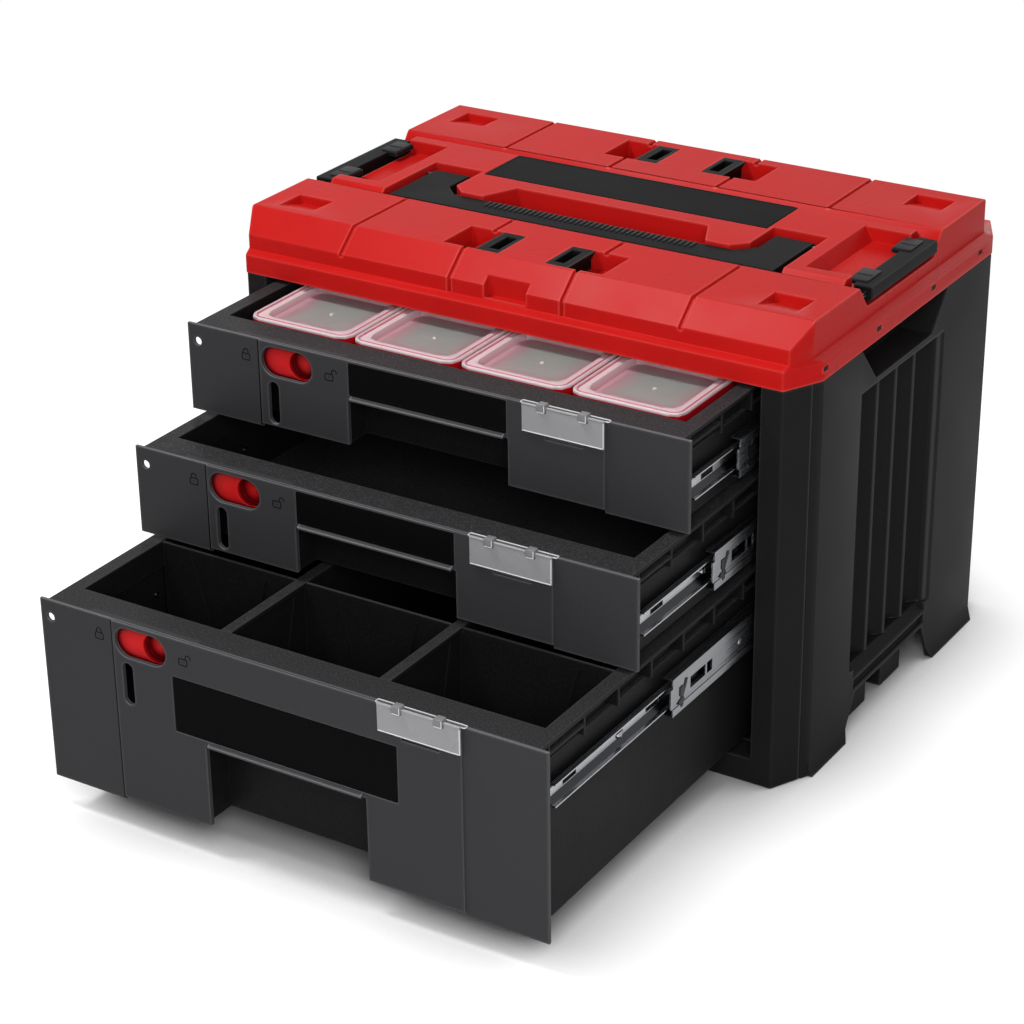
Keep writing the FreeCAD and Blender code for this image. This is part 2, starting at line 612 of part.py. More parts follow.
def lid_cores():
    """Hollows inside the right half of the lid, each as (x0, x1, y0, y1, ceiling)."""
    flat = LID_TOP - PLATE_SINK - BAND_GROOVE_DEPTH
    under_catch = LID_TOP - CATCH_DEPTH - LID_SKIN
    under_corner = LID_TOP - CORNER_POCKET_DEPTH - LID_SKIN
    front = CROWN_FRONT + BEVEL_RUN + LID_SKIN
    back = FIELD_MID - BAND_INNER - LID_SKIN
    catch_back = FIELD_MID - CATCH_Y + CATCH_LENGTH / 2 + LID_SKIN
    catch_in, catch_out = CATCH_IN - LID_SKIN, CATCH_POCKET_OUT + LID_SKIN
    corner = CORNER_POCKET_X - CORNER_POCKET_HALF - LID_SKIN
    side = CROWN_HALF - LID_SKIN
    bands = [
        (0.0, catch_in, front, back, flat),
        (catch_in, catch_out, front, catch_back, under_catch),
        (catch_in, catch_out, catch_back, back, flat),
        (catch_out, corner, front, back, flat),
        (corner, side, front, back, under_corner),
    ]
    arm_in = GRIP_HALF - ARM_WIDTH - HANDLE_ROOM
    arm_back = HANDLE_PIVOT_Y + ARM_THICK + HANDLE_GAP + LID_SKIN
    pocket_in = THUMB_POCKET_IN - LID_SKIN
    latch_in = LATCH_OUT - LATCH_WIDTH - LATCH_TAB_REACH
    under_thumb = LID_TOP - THUMB_POCKET_DEPTH - LID_SKIN
    far = FIELD_MID + BAND_INNER - BAND_GROOVE
    middle = [
        (FINGER_HALF + FINGER_SPLAY + LID_SKIN, pocket_in, back + LID_SKIN, arm_back,
         HANDLE_FLOOR - LID_SKIN),
        (0.0, arm_in - LID_SKIN, FINGER_BACK + LID_SKIN, arm_back, flat),
        (0.0, pocket_in, arm_back, far, flat),
        (pocket_in, latch_in, back + LID_SKIN, far, under_thumb),
        (latch_in, side, back + LID_SKIN, far, NOTCH_FLOOR - LID_SKIN),
    ]
    return bands, middle


def lid_hollow():
    """The room under the lid: one wide hollow, and the cores that reach up between the pockets."""
    ceiling = FINGER_FLOOR - LID_SKIN
    wide = box(-OPENING_HALF, OPENING_HALF, FRAME_DEPTH, CASE_DEPTH - FRAME_DEPTH, CASE_TOP - 1.0, ceiling)
    bands, middle = lid_cores()
    front = [box(x0, x1, y0, y1, ceiling - 1.0, z1) for x0, x1, y0, y1, z1 in bands]
    rest = [box(x0, x1, y0, y1, ceiling - 1.0, z1) for x0, x1, y0, y1, z1 in middle]
    return [wide] + both_sides(front + [from_front(shape) for shape in front] + rest)


def crease_cut(centre, lowest):
    """A crease across the front band that follows its flat, its bevel and the wall below."""
    edge = LID_TOP - BEVEL_DROP
    foot = CROWN_FRONT
    reach = FIELD_MID - BAND_INNER
    points = (
        (reach, LID_TOP + 1.0),
        (reach, LID_TOP - CREASE_DEPTH),
        (foot + BEVEL_RUN + CREASE_DEPTH / 2, LID_TOP - CREASE_DEPTH),
        (foot + CREASE_DEPTH, edge - CREASE_DEPTH / 2),
        (foot + CREASE_DEPTH, lowest),
        (foot - 1.0, lowest),
        (foot - 1.0, LID_TOP + 1.0),
    )
    return prism(points, "x", centre - CREASE / 2, centre + CREASE / 2)


def band_cuts():
    """Grooves beside the two bands, creases across them, corner pockets and catch pockets."""
    near = FIELD_MID + BAND_INNER
    groove = prism(
        ((near, LID_TOP + 0.1), (near - BAND_GROOVE, LID_TOP + 0.1),
         (near - BAND_GROOVE / 2, LID_TOP - BAND_GROOVE_DEPTH)),
        "x", -SPAN, SPAN,
    )
    edge = LID_TOP - BEVEL_DROP
    creases = [crease_cut(CREASE_OUTER, edge - CREASE_DEPTH), crease_cut(CREASE_INNER, RIM_TOP + RIM_RISE)]
    half = CATCH_LENGTH / 2
    catch = box(CATCH_IN, CATCH_POCKET_OUT, FIELD_MID + CATCH_Y - half, FIELD_MID + CATCH_Y + half,
                LID_TOP - CATCH_DEPTH, SPAN)
    mirrored_cuts = both_sides(creases + [from_front(catch)])
    cuts = [groove] + [from_front(shape) for shape in mirrored_cuts]
    cuts += [from_front(groove)] + mirrored_cuts
    for middle in (FIELD_MID - CORNER_POCKET_Y, FIELD_MID + CORNER_POCKET_Y):
        low, high = middle - CORNER_POCKET_LENGTH / 2, middle + CORNER_POCKET_LENGTH / 2
        ramp = prism(
            ((low, LID_TOP), (high, LID_TOP - CORNER_POCKET_DEPTH), (high, LID_TOP + 1.0),
             (low, LID_TOP + 1.0)),
            "x", CORNER_POCKET_X - CORNER_POCKET_HALF, CORNER_POCKET_X + CORNER_POCKET_HALF,
        )
        cuts += both_sides([ramp])
    return cuts


def gusset(room, z0, z1):
    """Slanted corner between the grip and the right arm, widened by some room."""
    inner, back = GRIP_HALF - ARM_WIDTH, GRIP_FRONT + GRIP_WIDTH
    size = ARM_GUSSET + room
    points = ((inner + 1.0, back - 1.0), (inner - size, back - 1.0), (inner - size, back),
              (inner, back + size), (inner + 1.0, back + size))
    return prism(points, "z", z0, z1)


def handle_cuts():
    """The U-shaped bed of the handle, and the finger room under and behind its grip."""
    outer = GRIP_HALF + HANDLE_ROOM
    inner = GRIP_HALF - ARM_WIDTH - HANDLE_ROOM
    front = GRIP_FRONT - HANDLE_GAP
    back = GRIP_FRONT + GRIP_WIDTH + HANDLE_GAP
    bed = box(-outer, outer, front, back, HANDLE_FLOOR, SPAN)
    arm = box(inner, outer, front, HANDLE_PIVOT_Y + ARM_THICK + HANDLE_GAP, HANDLE_FLOOR, SPAN)
    splay = FINGER_HALF + FINGER_SPLAY
    fingers = prism(
        ((-splay, front + SKIN), (splay, front + SKIN), (splay, back), (FINGER_HALF, FINGER_BACK),
         (-FINGER_HALF, FINGER_BACK), (-splay, back)),
        "z", FINGER_FLOOR, SPAN,
    )
    corner = gusset(HANDLE_ROOM, HANDLE_FLOOR, SPAN)
    return [bed, fingers] + both_sides([arm, corner])


def latch_notch():
    """Notch of the right-hand latch, with slanted ends."""
    low = LATCH_HALF + LATCH_GAP
    points = (
        (FIELD_MID - low - NOTCH_SLANT, LID_TOP + 0.1), (FIELD_MID - low, NOTCH_FLOOR),
        (FIELD_MID + low, NOTCH_FLOOR), (FIELD_MID + low + NOTCH_SLANT, LID_TOP + 0.1),
    )
    return prism(points, "x", LATCH_OUT - LATCH_WIDTH - LATCH_TAB_REACH / 2, SPAN)


def latch_cuts():
    """Notch and thumb pocket of the right-hand latch."""
    floor = LID_TOP - THUMB_POCKET_DEPTH
    pocket = prism(
        ((THUMB_POCKET_IN, LID_TOP + 0.1), (THUMB_POCKET_IN + THUMB_POCKET_SLOPE, floor),
         (CROWN_HALF - LATCH_WIDTH / 2, floor), (CROWN_HALF - LATCH_WIDTH / 2, LID_TOP + 0.1)),
        "y", FIELD_MID - THUMB_POCKET_HALF - LATCH_GAP, FIELD_MID + THUMB_POCKET_HALF + LATCH_GAP,
    )
    return [latch_notch(), pocket]


def snap_windows():
    """Small windows low in the right side of the rim."""
    high = RIM_TOP - SNAP_DOWN + SNAP_HEIGHT / 2
    far = CASE_DEPTH / 2 - SNAP_FAR_IN
    return [
        box(SIDE_HALF - SNAP_DEPTH, SPAN, FIELD_MID + y - SNAP_HALF, FIELD_MID + y + SNAP_HALF,
            high - SNAP_HEIGHT, high)
        for y in (-far, -SNAP_NEAR, SNAP_NEAR, far)
    ]


def lid():
    """Lid moulding: block less its hollow, bands, pockets, beds and thumb notch."""
    thumb = box(-THUMB_HALF, THUMB_HALF, CROWN_FRONT - 1.0, CROWN_FRONT + THUMB_DEPTH, THUMB_BOTTOM, SPAN)
    plate_bed = box(-PLATE_HALF, PLATE_HALF, PLATE_FRONT, PLATE_BACK, LID_TOP - PLATE_SINK, SPAN)
    cuts = lid_hollow() + band_cuts() + handle_cuts() + [thumb, plate_bed]
    cuts += both_sides(latch_cuts() + snap_windows())
    return cleaned(lid_block().cut(cuts))


def stack_catch():
    """Catch at the front right: a frame round a window, with a hook over the pocket beside it."""
    half = CATCH_LENGTH / 2
    y0, y1 = FIELD_MID - CATCH_Y - half, FIELD_MID - CATCH_Y + half
    floor = LID_TOP - CATCH_DEPTH
    body = box(CATCH_IN, CATCH_OUT, y0, y1, floor, LID_TOP)
    hook = prism(
        ((CATCH_OUT, LID_TOP), (CATCH_OUT + CATCH_HOOK, LID_TOP), (CATCH_OUT, LID_TOP - CATCH_DEPTH / 2)),
        "y", y0, y1,
    )
    window = box(CATCH_IN + CATCH_WALL, CATCH_OUT - CATCH_WALL, y0 + 2 * CATCH_WALL, y1 - 2 * CATCH_WALL,
                 floor + CATCH_WALL, SPAN)
    return cleaned(body.fuse(hook).cut(window))


def stack_catches():
    front = both_sides([stack_catch()])
    return Part.makeCompound(front + [from_front(shape) for shape in front])


# Carry handle and stack latches

def handle():
    """U-shaped handle: a grip and two arms with rounded ends round the pivot."""
    grip_back = GRIP_FRONT + GRIP_WIDTH
    grip = box(-GRIP_HALF, GRIP_HALF, GRIP_FRONT, grip_back, HANDLE_TOP - GRIP_THICK, HANDLE_TOP)
    inner = GRIP_HALF - ARM_WIDTH
    arm = box(inner, GRIP_HALF, GRIP_FRONT, HANDLE_PIVOT_Y, HANDLE_TOP - ARM_THICK, HANDLE_TOP)
    end = rod("x", (HANDLE_PIVOT_Y, HANDLE_PIVOT_Z), ARM_THICK / 2, inner, GRIP_HALF)
    bore = rod("x", (HANDLE_PIVOT_Y, HANDLE_PIVOT_Z), HANDLE_PIN_R + PIN_PLAY,
               GRIP_HALF - PIN_REACH - PIN_PLAY, GRIP_HALF + 1.0)
    corner = gusset(0.0, HANDLE_TOP - ARM_THICK, HANDLE_TOP)
    return cleaned(grip.fuse(both_sides([arm, end, corner])).cut(both_sides([bore])))


def handle_pins():
    """Stub on each side wall of the handle's bed, which reaches into the handle's arm."""
    start, end = GRIP_HALF - PIN_REACH, GRIP_HALF + HANDLE_ROOM
    pin = rod("x", (HANDLE_PIVOT_Y, HANDLE_PIVOT_Z), HANDLE_PIN_R, start, end)
    return Part.makeCompound(both_sides([pin]))


def stack_latch():
    """Right-hand latch: a bar along the lid's edge with two finger tabs, bored for its pin."""
    low = LATCH_TOP - LATCH_HEIGHT
    inner = LATCH_OUT - LATCH_WIDTH
    section = (
        (inner, LATCH_TOP), (LATCH_OUT, LATCH_TOP), (LATCH_OUT, low + LATCH_PROUD),
        (LATCH_OUT - LATCH_PROUD, low), (inner + LATCH_PROUD, low), (inner, low + LATCH_PROUD),
    )
    bar = prism(section, "y", FIELD_MID - LATCH_HALF, FIELD_MID + LATCH_HALF)
    tabs = []
    for side in (-1, 1):
        far = FIELD_MID + side * LATCH_TAB_OUT
        near = far - side * LATCH_TAB_LENGTH
        tabs.append(box(inner - LATCH_TAB_REACH, inner, min(near, far), max(near, far),
                        LATCH_TOP - LATCH_TAB_THICK, LATCH_TOP))
    bore = rod("y", (LATCH_PIVOT_X, LATCH_PIVOT_Z), LATCH_PIN_R + PIN_PLAY, -SPAN, SPAN)
    return cleaned(bar.fuse(tabs).cut(bore))


def latch_pins():
    """Pin of each latch, from one slanted end of its notch to the other."""
    pin = rod("y", (LATCH_PIVOT_X, LATCH_PIVOT_Z), LATCH_PIN_R, -SPAN, SPAN).common(latch_notch())
    return Part.makeCompound(both_sides([pin.Solids[0]]))


# Drawers

def stadium(x0, x1, z0, z1, y0, y1):
    """A slot with round ends, cut along y; its long side may lie along x or z."""
    if x1 - x0 > z1 - z0:
        radius = (z1 - z0) / 2
        ends = ((x0 + radius, z0 + radius), (x1 - radius, z0 + radius))
        middle = box(x0 + radius, x1 - radius, y0, y1, z0, z1)
    else:
        radius = (x1 - x0) / 2
        ends = ((x0 + radius, z0 + radius), (x0 + radius, z1 - radius))
        middle = box(x0, x1, y0, y1, z0 + radius, z1 - radius)
    return middle.fuse([rod("y", end, radius, y0, y1) for end in ends])


def label_axis(front, top):
    """Where the rod of a label cover runs, as (y, z)."""
    return front - LABEL_COVER_OUT - LABEL_COVER_THICK / 2, top + LABEL_ROD_UP


def label_ear_spans():
    left = LABEL_LEFT + LABEL_EAR_INSET
    right = LABEL_RIGHT - LABEL_EAR_INSET - LABEL_EAR_WIDTH
    return [(start, start + LABEL_EAR_WIDTH) for start in (left, right)]


def label_ears(front, top):
    """Two knuckles at the panel's top with square sockets that hold the rod of the label cover."""
    y, z = label_axis(front, top)
    socket = LABEL_ROD_R + LABEL_EAR_PLAY
    wall = socket + LABEL_EAR_WALL
    ears = [
        box(x0, x1, y - wall, front + PANEL_THICK / 2, top - LABEL_EAR_WALL, z + wall)
        for x0, x1 in label_ear_spans()
    ]
    return ears, box(LABEL_LEFT, LABEL_RIGHT, y - socket, y + socket, z - socket, z + socket)


def grip_top(name, top):
    return top - (DEEP_GRIP_TOP if name == "bottom" else SHALLOW_GRIP_TOP)


def panel_cuts(name, bottom, top, front):
    """Lock window, upright slot, tie hole, hand grip and the shallow beds of the plates."""
    back = front + PANEL_THICK + 1.0
    lock = top - LOCK_DOWN
    window = stadium(-LOCK_WINDOW_LEFT, -LOCK_WINDOW_RIGHT, lock - LOCK_WINDOW_HALF,
                     lock + LOCK_WINDOW_HALF, front - 1.0, back)
    slot = stadium(-SLOT_X - SLOT_HALF_WIDTH, -SLOT_X + SLOT_HALF_WIDTH, top - SLOT_TOP - SLOT_LENGTH,
                   top - SLOT_TOP, front - 1.0, back)
    tie_hole = rod("y", (-TIE_HOLE_X, top - TIE_HOLE_DOWN), TIE_HOLE_R, front - 1.0, back)
    grip = box(-GRIP_CUT_HALF, GRIP_CUT_HALF, front - 1.0, back, bottom - 1.0, grip_top(name, top))
    if name == "bottom":
        high = top - NAME_PLATE_TOP
        bed = box(-NAME_PLATE_HALF, NAME_PLATE_HALF, front - 1.0, front + STRIP_SINK,
                  high - NAME_PLATE_HEIGHT, high)
    else:
        bed = box(-STRIP_HALF, STRIP_HALF, front - 1.0, front + STRIP_SINK, grip_top(name, top),
                  top - STRIP_TOP)
    low = top - LABEL_HEIGHT - LABEL_NOTCH_DROP
    notch = box(LABEL_LEFT + LABEL_NOTCH_IN, LABEL_RIGHT - LABEL_NOTCH_IN, front - 1.0,
                front + LABEL_NOTCH_DEPTH, low, low + LABEL_NOTCH_HEIGHT)
    return [window, slot, tie_hole, grip, bed, notch]


def grip_lip(front, height):
    """Bevelled lip over the hand grip."""
    points = ((front + STRIP_SINK, height + LIP_HEIGHT), (front - LIP_PROUD, height + LIP_EDGE),
              (front - LIP_PROUD, height), (front + STRIP_SINK, height))
    return prism(points, "x", -LIP_HALF, LIP_HALF)


def front_panel(name, bottom, top, front):
    """Front plate with set-back end wings, knuckles for the label and guides for the lock."""
    back = front + PANEL_THICK
    centre = box(-PANEL_CENTRE_HALF, PANEL_CENTRE_HALF, front, back, bottom + WING_DROP, top)
    wing = box(PANEL_CENTRE_HALF, PANEL_HALF, front + WING_SETBACK, back, bottom, top)
    plate = centre.fuse(both_sides([wing])).cut(panel_cuts(name, bottom, top, front))
    ears, sockets = label_ears(front, top)
    lock = top - LOCK_DOWN
    low = lock - LOCK_PLATE_HALF - LOCK_CLEAR
    guide_back = back + LOCK_PLATE_THICK + 2 * LOCK_CLEAR
    added = ears + [box(-PANEL_CENTRE_HALF, -LOCK_WINDOW_RIGHT, back, guide_back, low - LOCK_GUIDE, low)]
    added.append(grip_lip(front, grip_top(name, top)))
    return cleaned(plate.fuse(added).cut(sockets))


def label_cover(front, top):
    """Clear flap on a thin rod, notched where the panel's knuckles hold the rod."""
    y, z = label_axis(front, top)
    flap = box(LABEL_LEFT, LABEL_RIGHT, y - LABEL_COVER_THICK / 2, y + LABEL_COVER_THICK / 2,
               top - LABEL_HEIGHT, z)
    room = LABEL_ROD_R + LABEL_EAR_PLAY + 2 * LABEL_EAR_WALL
    notches = [
        box(x0 - LABEL_EAR_WALL / 2, x1 + LABEL_EAR_WALL / 2, front - SPAN, front, z - room, z + room)
        for x0, x1 in label_ear_spans()
    ]
    return cleaned(flap.cut(notches).fuse(rod("x", (y, z), LABEL_ROD_R, LABEL_LEFT, LABEL_RIGHT)))


def label_card(front, top):
    inset = LABEL_CARD_INSET
    low, high = top - LABEL_HEIGHT + inset, top - LABEL_EAR_WALL - inset
    return box(LABEL_LEFT + inset, LABEL_RIGHT - inset, front - LABEL_CARD_THICK, front, low, high)


def lock_slider(front, top):
    """Sliding lock: a plate behind the window with a finger cup, and a bolt towards the post."""
    lock = top - LOCK_DOWN
    near = front + PANEL_THICK + LOCK_CLEAR
    far = near + LOCK_PLATE_THICK
    cup_x = -LOCK_WINDOW_RIGHT - LOCK_WINDOW_HALF
    right = -LOCK_WINDOW_RIGHT + LOCK_TRAVEL + LOCK_GUIDE
    left = -LOCK_WINDOW_LEFT - LOCK_GUIDE
    plate = box(left, right, near, far, lock - LOCK_PLATE_HALF, lock + LOCK_PLATE_HALF)
    bolt = box(-LOCK_BOLT_END, left, near, far, lock - LOCK_BOLT_HALF, lock + LOCK_BOLT_HALF)
    cup = rod("y", (cup_x, lock), LOCK_CUP_R + LOCK_CUP_WALL, near, near + LOCK_CUP_DEPTH + LOCK_CUP_WALL)
    dimple = rod("y", (cup_x, lock), LOCK_CUP_R, near - 1.0, near + LOCK_CUP_DEPTH)
    return cleaned(plate.fuse([bolt, cup]).cut(dimple))


def tray_bottom(name, bottom):
    return bottom + (TRAY_RAISE if name == "bottom" else TRAY_RAISE_SHALLOW)


def tray_ribs(front, top):
    """Ribs between the rim and the shoulder of the right wall, with a bar in the first cell."""
    inner = RIM_INNER + TRAY_WALL
    outer = RIM_HALF - CELL_RIB / 2
    low, high = top - SHOULDER_DOWN, top - RIM_THICK
    count = int((TRAY_LENGTH - CELL_FIRST - CELL_RIB) // CELL_PITCH) + 1
    starts = [front + CELL_FIRST + CELL_PITCH * index for index in range(count)]
    ribs = [box(inner, outer, y, y + CELL_RIB, low, high) for y in starts]
    bar = top - CELL_BAR_DOWN
    ribs.append(box(inner, outer, starts[0], starts[1], bar - CELL_RIB, bar))
    return ribs


def lock_ways(near, top):
    """Room in a tray for its lock: a groove under the rim for the plate, a slot for the bolt."""
    lock = top - LOCK_DOWN
    far = near + LOCK_PLATE_THICK + 3 * LOCK_CLEAR
    half = LOCK_BOLT_HALF + 2 * LOCK_CLEAR
    left = -LOCK_WINDOW_LEFT - LOCK_GUIDE - LOCK_TRAVEL - LOCK_CLEAR
    high = lock + LOCK_PLATE_HALF + LOCK_CLEAR
    groove = box(left, -CHEEK_X - TRAY_WALL, near - 1.0, far, lock - half, high)
    slot = box(-SPAN, -RIM_INNER + 1.0, near - 1.0, far, lock - half, lock + half)
    return [groove, slot]


def tray(name, bottom, top, front):
    """Open tray: wide lower walls for the slides, a narrower neck, and a flat rim all round."""
    low = tray_bottom(name, bottom)
    near, far = front + PANEL_THICK, front + TRAY_LENGTH
    shoulder = top - SHOULDER_DOWN
    inside, end = front + RIM_FRONT, far - TRAY_WALL
    hollow_front = inside - TRAY_WALL
    lower = box(-TRAY_HALF, TRAY_HALF, near, far, low, shoulder)
    neck_half = RIM_INNER + TRAY_WALL
    neck = box(-neck_half, neck_half, near, far, shoulder, top)
    rim = box(-RIM_HALF, RIM_HALF, near, far, top - RIM_THICK, top)
    wide = TRAY_HALF - TRAY_WALL
    store = box(-wide, wide, inside, end, low + TRAY_WALL, shoulder - TRAY_WALL)
    mouth = box(-RIM_INNER, RIM_INNER, inside, end, shoulder - 2 * TRAY_WALL, top + 1.0)
    cavity = box(-wide, wide, near - 1.0, hollow_front, low - 1.0, shoulder - TRAY_WALL)
    cavity_neck = box(-RIM_INNER, RIM_INNER, near - 1.0, hollow_front, shoulder - 2 * TRAY_WALL,
                      top - RIM_THICK)
    cheek = box(CHEEK_X, CHEEK_X + TRAY_WALL, near, hollow_front, low, top - RIM_THICK)
    shell = lower.fuse([neck, rim]).cut([store, mouth, cavity, cavity_neck])
    return cleaned(shell.fuse(both_sides(tray_ribs(front, top) + [cheek])).cut(lock_ways(near, top)))


def divider(bottom, top, front):
    """Right-hand partition of the deep drawer, with a wider top edge."""
    floor = tray_bottom("bottom", bottom) + TRAY_WALL + SEAT_GAP
    y0 = front + RIM_FRONT + SEAT_GAP
    y1 = front + TRAY_LENGTH - TRAY_WALL - SEAT_GAP
    high = top - SEAT_GAP
    wall = box(DIVIDER_X - DIVIDER_THICK / 2, DIVIDER_X + DIVIDER_THICK / 2, y0, y1, floor, high)
    edge = box(DIVIDER_X - DIVIDER_TOP_WIDTH / 2, DIVIDER_X + DIVIDER_TOP_WIDTH / 2, y0, y1,
               high - DIVIDER_THICK, high)
    return cleaned(wall.fuse(edge))


def cross_walls(bottom, top, front):
    """Three plates across the deep drawer, one between each pair of long walls."""
    floor = tray_bottom("bottom", bottom) + TRAY_WALL + SEAT_GAP
    high = top - SEAT_GAP
    step = high - DIVIDER_THICK - SEAT_GAP
    wall, edge = DIVIDER_THICK / 2 + SEAT_GAP, DIVIDER_TOP_WIDTH / 2 + SEAT_GAP
    outer = RIM_INNER - SEAT_GAP
    side = ((DIVIDER_X + wall, floor), (outer, floor), (outer, high), (DIVIDER_X + edge, high),
            (DIVIDER_X + edge, step), (DIVIDER_X + wall, step))
    half = ((DIVIDER_X - wall, floor), (DIVIDER_X - wall, step), (DIVIDER_X - edge, step),
            (DIVIDER_X - edge, high))
    middle = list(half) + [(-x, z) for x, z in reversed(half)]
    y0 = front + CROSS_SETBACK
    plates = [prism(points, "y", y0, y0 + CROSS_THICK) for points in (middle, side)]
    return Part.makeCompound(plates + [mirrored(plates[1])])


# Slides

def channel(web, opening, half, height, start, end):
    """A channel of sheet steel along y; web and opening are the x of its back and of its lips."""
    sheet = SHEET if opening > web else -SHEET
    points = (
        (web, height - half), (opening, height - half), (opening, height - half + SHEET),
        (web + sheet, height - half + SHEET), (web + sheet, height + half - SHEET),
        (opening, height + half - SHEET), (opening, height + half), (web, height + half),
    )
    return prism(points, "y", start, end)


def inner_rail(front, height):
    """Member screwed to the tray: a flat strip with slots between two leaning sides and their lips."""
    lips = OPENING_HALF - 2 * (SHEET + WEB_AIR) - WEB_AIR
    start = front + INNER_RAIL_SETBACK
    lean = TRAY_HALF + WEB_SLOPE_OUT
    outer, inner = INNER_HALF_HEIGHT, INNER_HALF_HEIGHT - SHEET
    upper = (
        (TRAY_HALF, WEB_FLAT_HALF), (lean, outer), (lips, outer), (lips, inner),
        (lean + SHEET, inner), (TRAY_HALF + SHEET, WEB_FLAT_HALF),
    )
    section = [(x, height + z) for x, z in upper] + [(x, height - z) for x, z in reversed(upper)]
    member = prism(section, "y", start, start + RAIL_LENGTH)
    slots = [
        box(TRAY_HALF - SHEET, lean, start + near, start + far, height - SLOT_HALF_HEIGHT,
            height + SLOT_HALF_HEIGHT)
        for near, far in STRIP_SLOTS
    ]
    return cleaned(member.cut(slots))


def middle_web():
    return OPENING_HALF - SHEET - WEB_AIR


def middle_rail(front, height):
    """Member between the two others, with two holes, a pressed bead and a tongue in front.

    It travels half as far as the drawer.
    """
    start = front / 2 + RAIL_SETBACK
    end = start + RAIL_LENGTH
    web, lips = middle_web(), TRAY_HALF + FLANGE_AIR
    member = channel(web, lips, MIDDLE_HALF_HEIGHT, height, start, end)
    tongue = box(web - SHEET, web, start - TONGUE_REACH, start, height - TONGUE_HALF, height + TONGUE_HALF)
    hole_low, hole_high = height - WEB_HOLE_LOW, height + WEB_HOLE_HIGH
    holes = [
        box(web - 2 * SHEET, web + SHEET, start + near, start + far, hole_low, hole_high)
        for near, far in WEB_HOLES
    ]
    low = height - WEB_BEAD_DOWN
    bead = box(web - WEB_BEAD_DEPTH, web + SHEET, start, end, low, low + WEB_BEAD_HEIGHT)
    return cleaned(member.fuse(tongue).cut(holes + [bead]))


def outer_rail(height):
    """Member screwed to the case: its channel opens towards the drawer."""
    lips = TRAY_HALF + 2 * FLANGE_AIR
    return channel(OPENING_HALF, lips, OUTER_HALF_HEIGHT, height, RAIL_SETBACK, RAIL_SETBACK + RAIL_LENGTH)


def ball_cages(front, height):
    """Four ball retainers of one slide: two inside the middle member's lips and two outside."""
    start = front / 2 + RAIL_SETBACK
    inside = (INNER_HALF_HEIGHT + CAGE_AIR, MIDDLE_HALF_HEIGHT - SHEET - CAGE_AIR)
    outside = (MIDDLE_HALF_HEIGHT + CAGE_AIR, OUTER_HALF_HEIGHT - SHEET - CAGE_AIR)
    x0 = TRAY_HALF + 2 * FLANGE_AIR
    x1 = middle_web() - SHEET - CAGE_AIR
    near = (start + CAGE_INSET, start + CAGE_INSET + CAGE_LENGTH)
    far = (start + RAIL_LENGTH - CAGE_INSET - CAGE_LENGTH, start + RAIL_LENGTH - CAGE_INSET)
    bars = []
    for (z0, z1), (y0, y1) in ((inside, near), (outside, far)):
        bars.append(box(x0, x1, y0, y1, height + z0, height + z1))
        bars.append(box(x0, x1, y0, y1, height - z1, height - z0))
    return bars


# Bins

def bin_places(front, row):
    """Left front corner of each bin of a row."""
    first = -BIN_PITCH_X * (BIN_COLUMNS - 1) / 2 - BIN_WIDTH / 2
    y = front + BIN_FRONT + BIN_PITCH_Y * row
    return [(first + BIN_PITCH_X * column, y) for column in range(BIN_COLUMNS)]


def round_outline(x, y, width, length, radius, height):
    """Points of a rectangle with each corner rounded off by a few short sides, in a level plane."""
    x0, x1, y0, y1 = x + radius, x + width - radius, y + radius, y + length - radius
    points = []
    for quarter, (cx, cy) in enumerate(((x1, y1), (x0, y1), (x0, y0), (x1, y0))):
        for step in range(BIN_CORNER_SIDES + 1):
            turn = math.pi / 2 * (quarter + step / BIN_CORNER_SIDES)
            points.append(V(cx + radius * math.cos(turn), cy + radius * math.sin(turn), height))
    return points


def flat_face(*points):
    return Part.Face(Part.makePolygon(list(points) + [points[0]]))


def frustum(x, y, width, length, taper, z0, z1):
    """A round-cornered block that narrows by taper on every side from its top to its bottom."""
    low = round_outline(x + taper, y + taper, width - 2 * taper, length - 2 * taper, BIN_CORNER - taper, z0)
    high = round_outline(x, y, width, length, BIN_CORNER, z1)
    turned_low, turned_high = low[1:] + low[:1], high[1:] + high[:1]
    sides = [flat_face(*corners) for corners in zip(low, turned_low, turned_high, high)]
    return Part.Solid(Part.makeShell(sides + [flat_face(*low), flat_face(*high)]))


def bin_heights(bottom, top):
    floor = tray_bottom("top", bottom) + TRAY_WALL + SEAT_GAP
    return floor, top - BIN_LID_DOWN - BIN_LID_THICK


def small_bin(corner, bottom, top):
    """Tapered open bin."""
    x, y = corner
    floor, rim = bin_heights(bottom, top)
    outside = frustum(x, y, BIN_WIDTH, BIN_LENGTH, BIN_TAPER, floor, rim)
    inside = frustum(x + BIN_WALL, y + BIN_WALL, BIN_WIDTH - 2 * BIN_WALL, BIN_LENGTH - 2 * BIN_WALL,
                     BIN_TAPER, floor + BIN_WALL, rim + 0.01)
    return outside.cut(inside)


def bin_lid(corner, bottom, top):
    """Clear lid with a raised border round a sunk middle."""
    x, y = corner
    _, rim = bin_heights(bottom, top)
    border = frustum(x, y, BIN_WIDTH, BIN_LENGTH, 0.0, rim, rim + BIN_LID_THICK)
    inset = BIN_LID_BORDER
    width, length = BIN_WIDTH - 2 * inset, BIN_LENGTH - 2 * inset
    low = rim - BIN_LID_SINK
    dish = frustum(x + inset, y + inset, width, length, BIN_LID_THICK, low, rim + BIN_LID_THICK)
    wall = BIN_LID_THICK
    room = frustum(x + inset + wall, y + inset + wall, width - 2 * wall, length - 2 * wall, wall,
                   low + wall, rim + wall + 0.01)
    return cleaned(border.fuse(dish).cut(room))


# Build

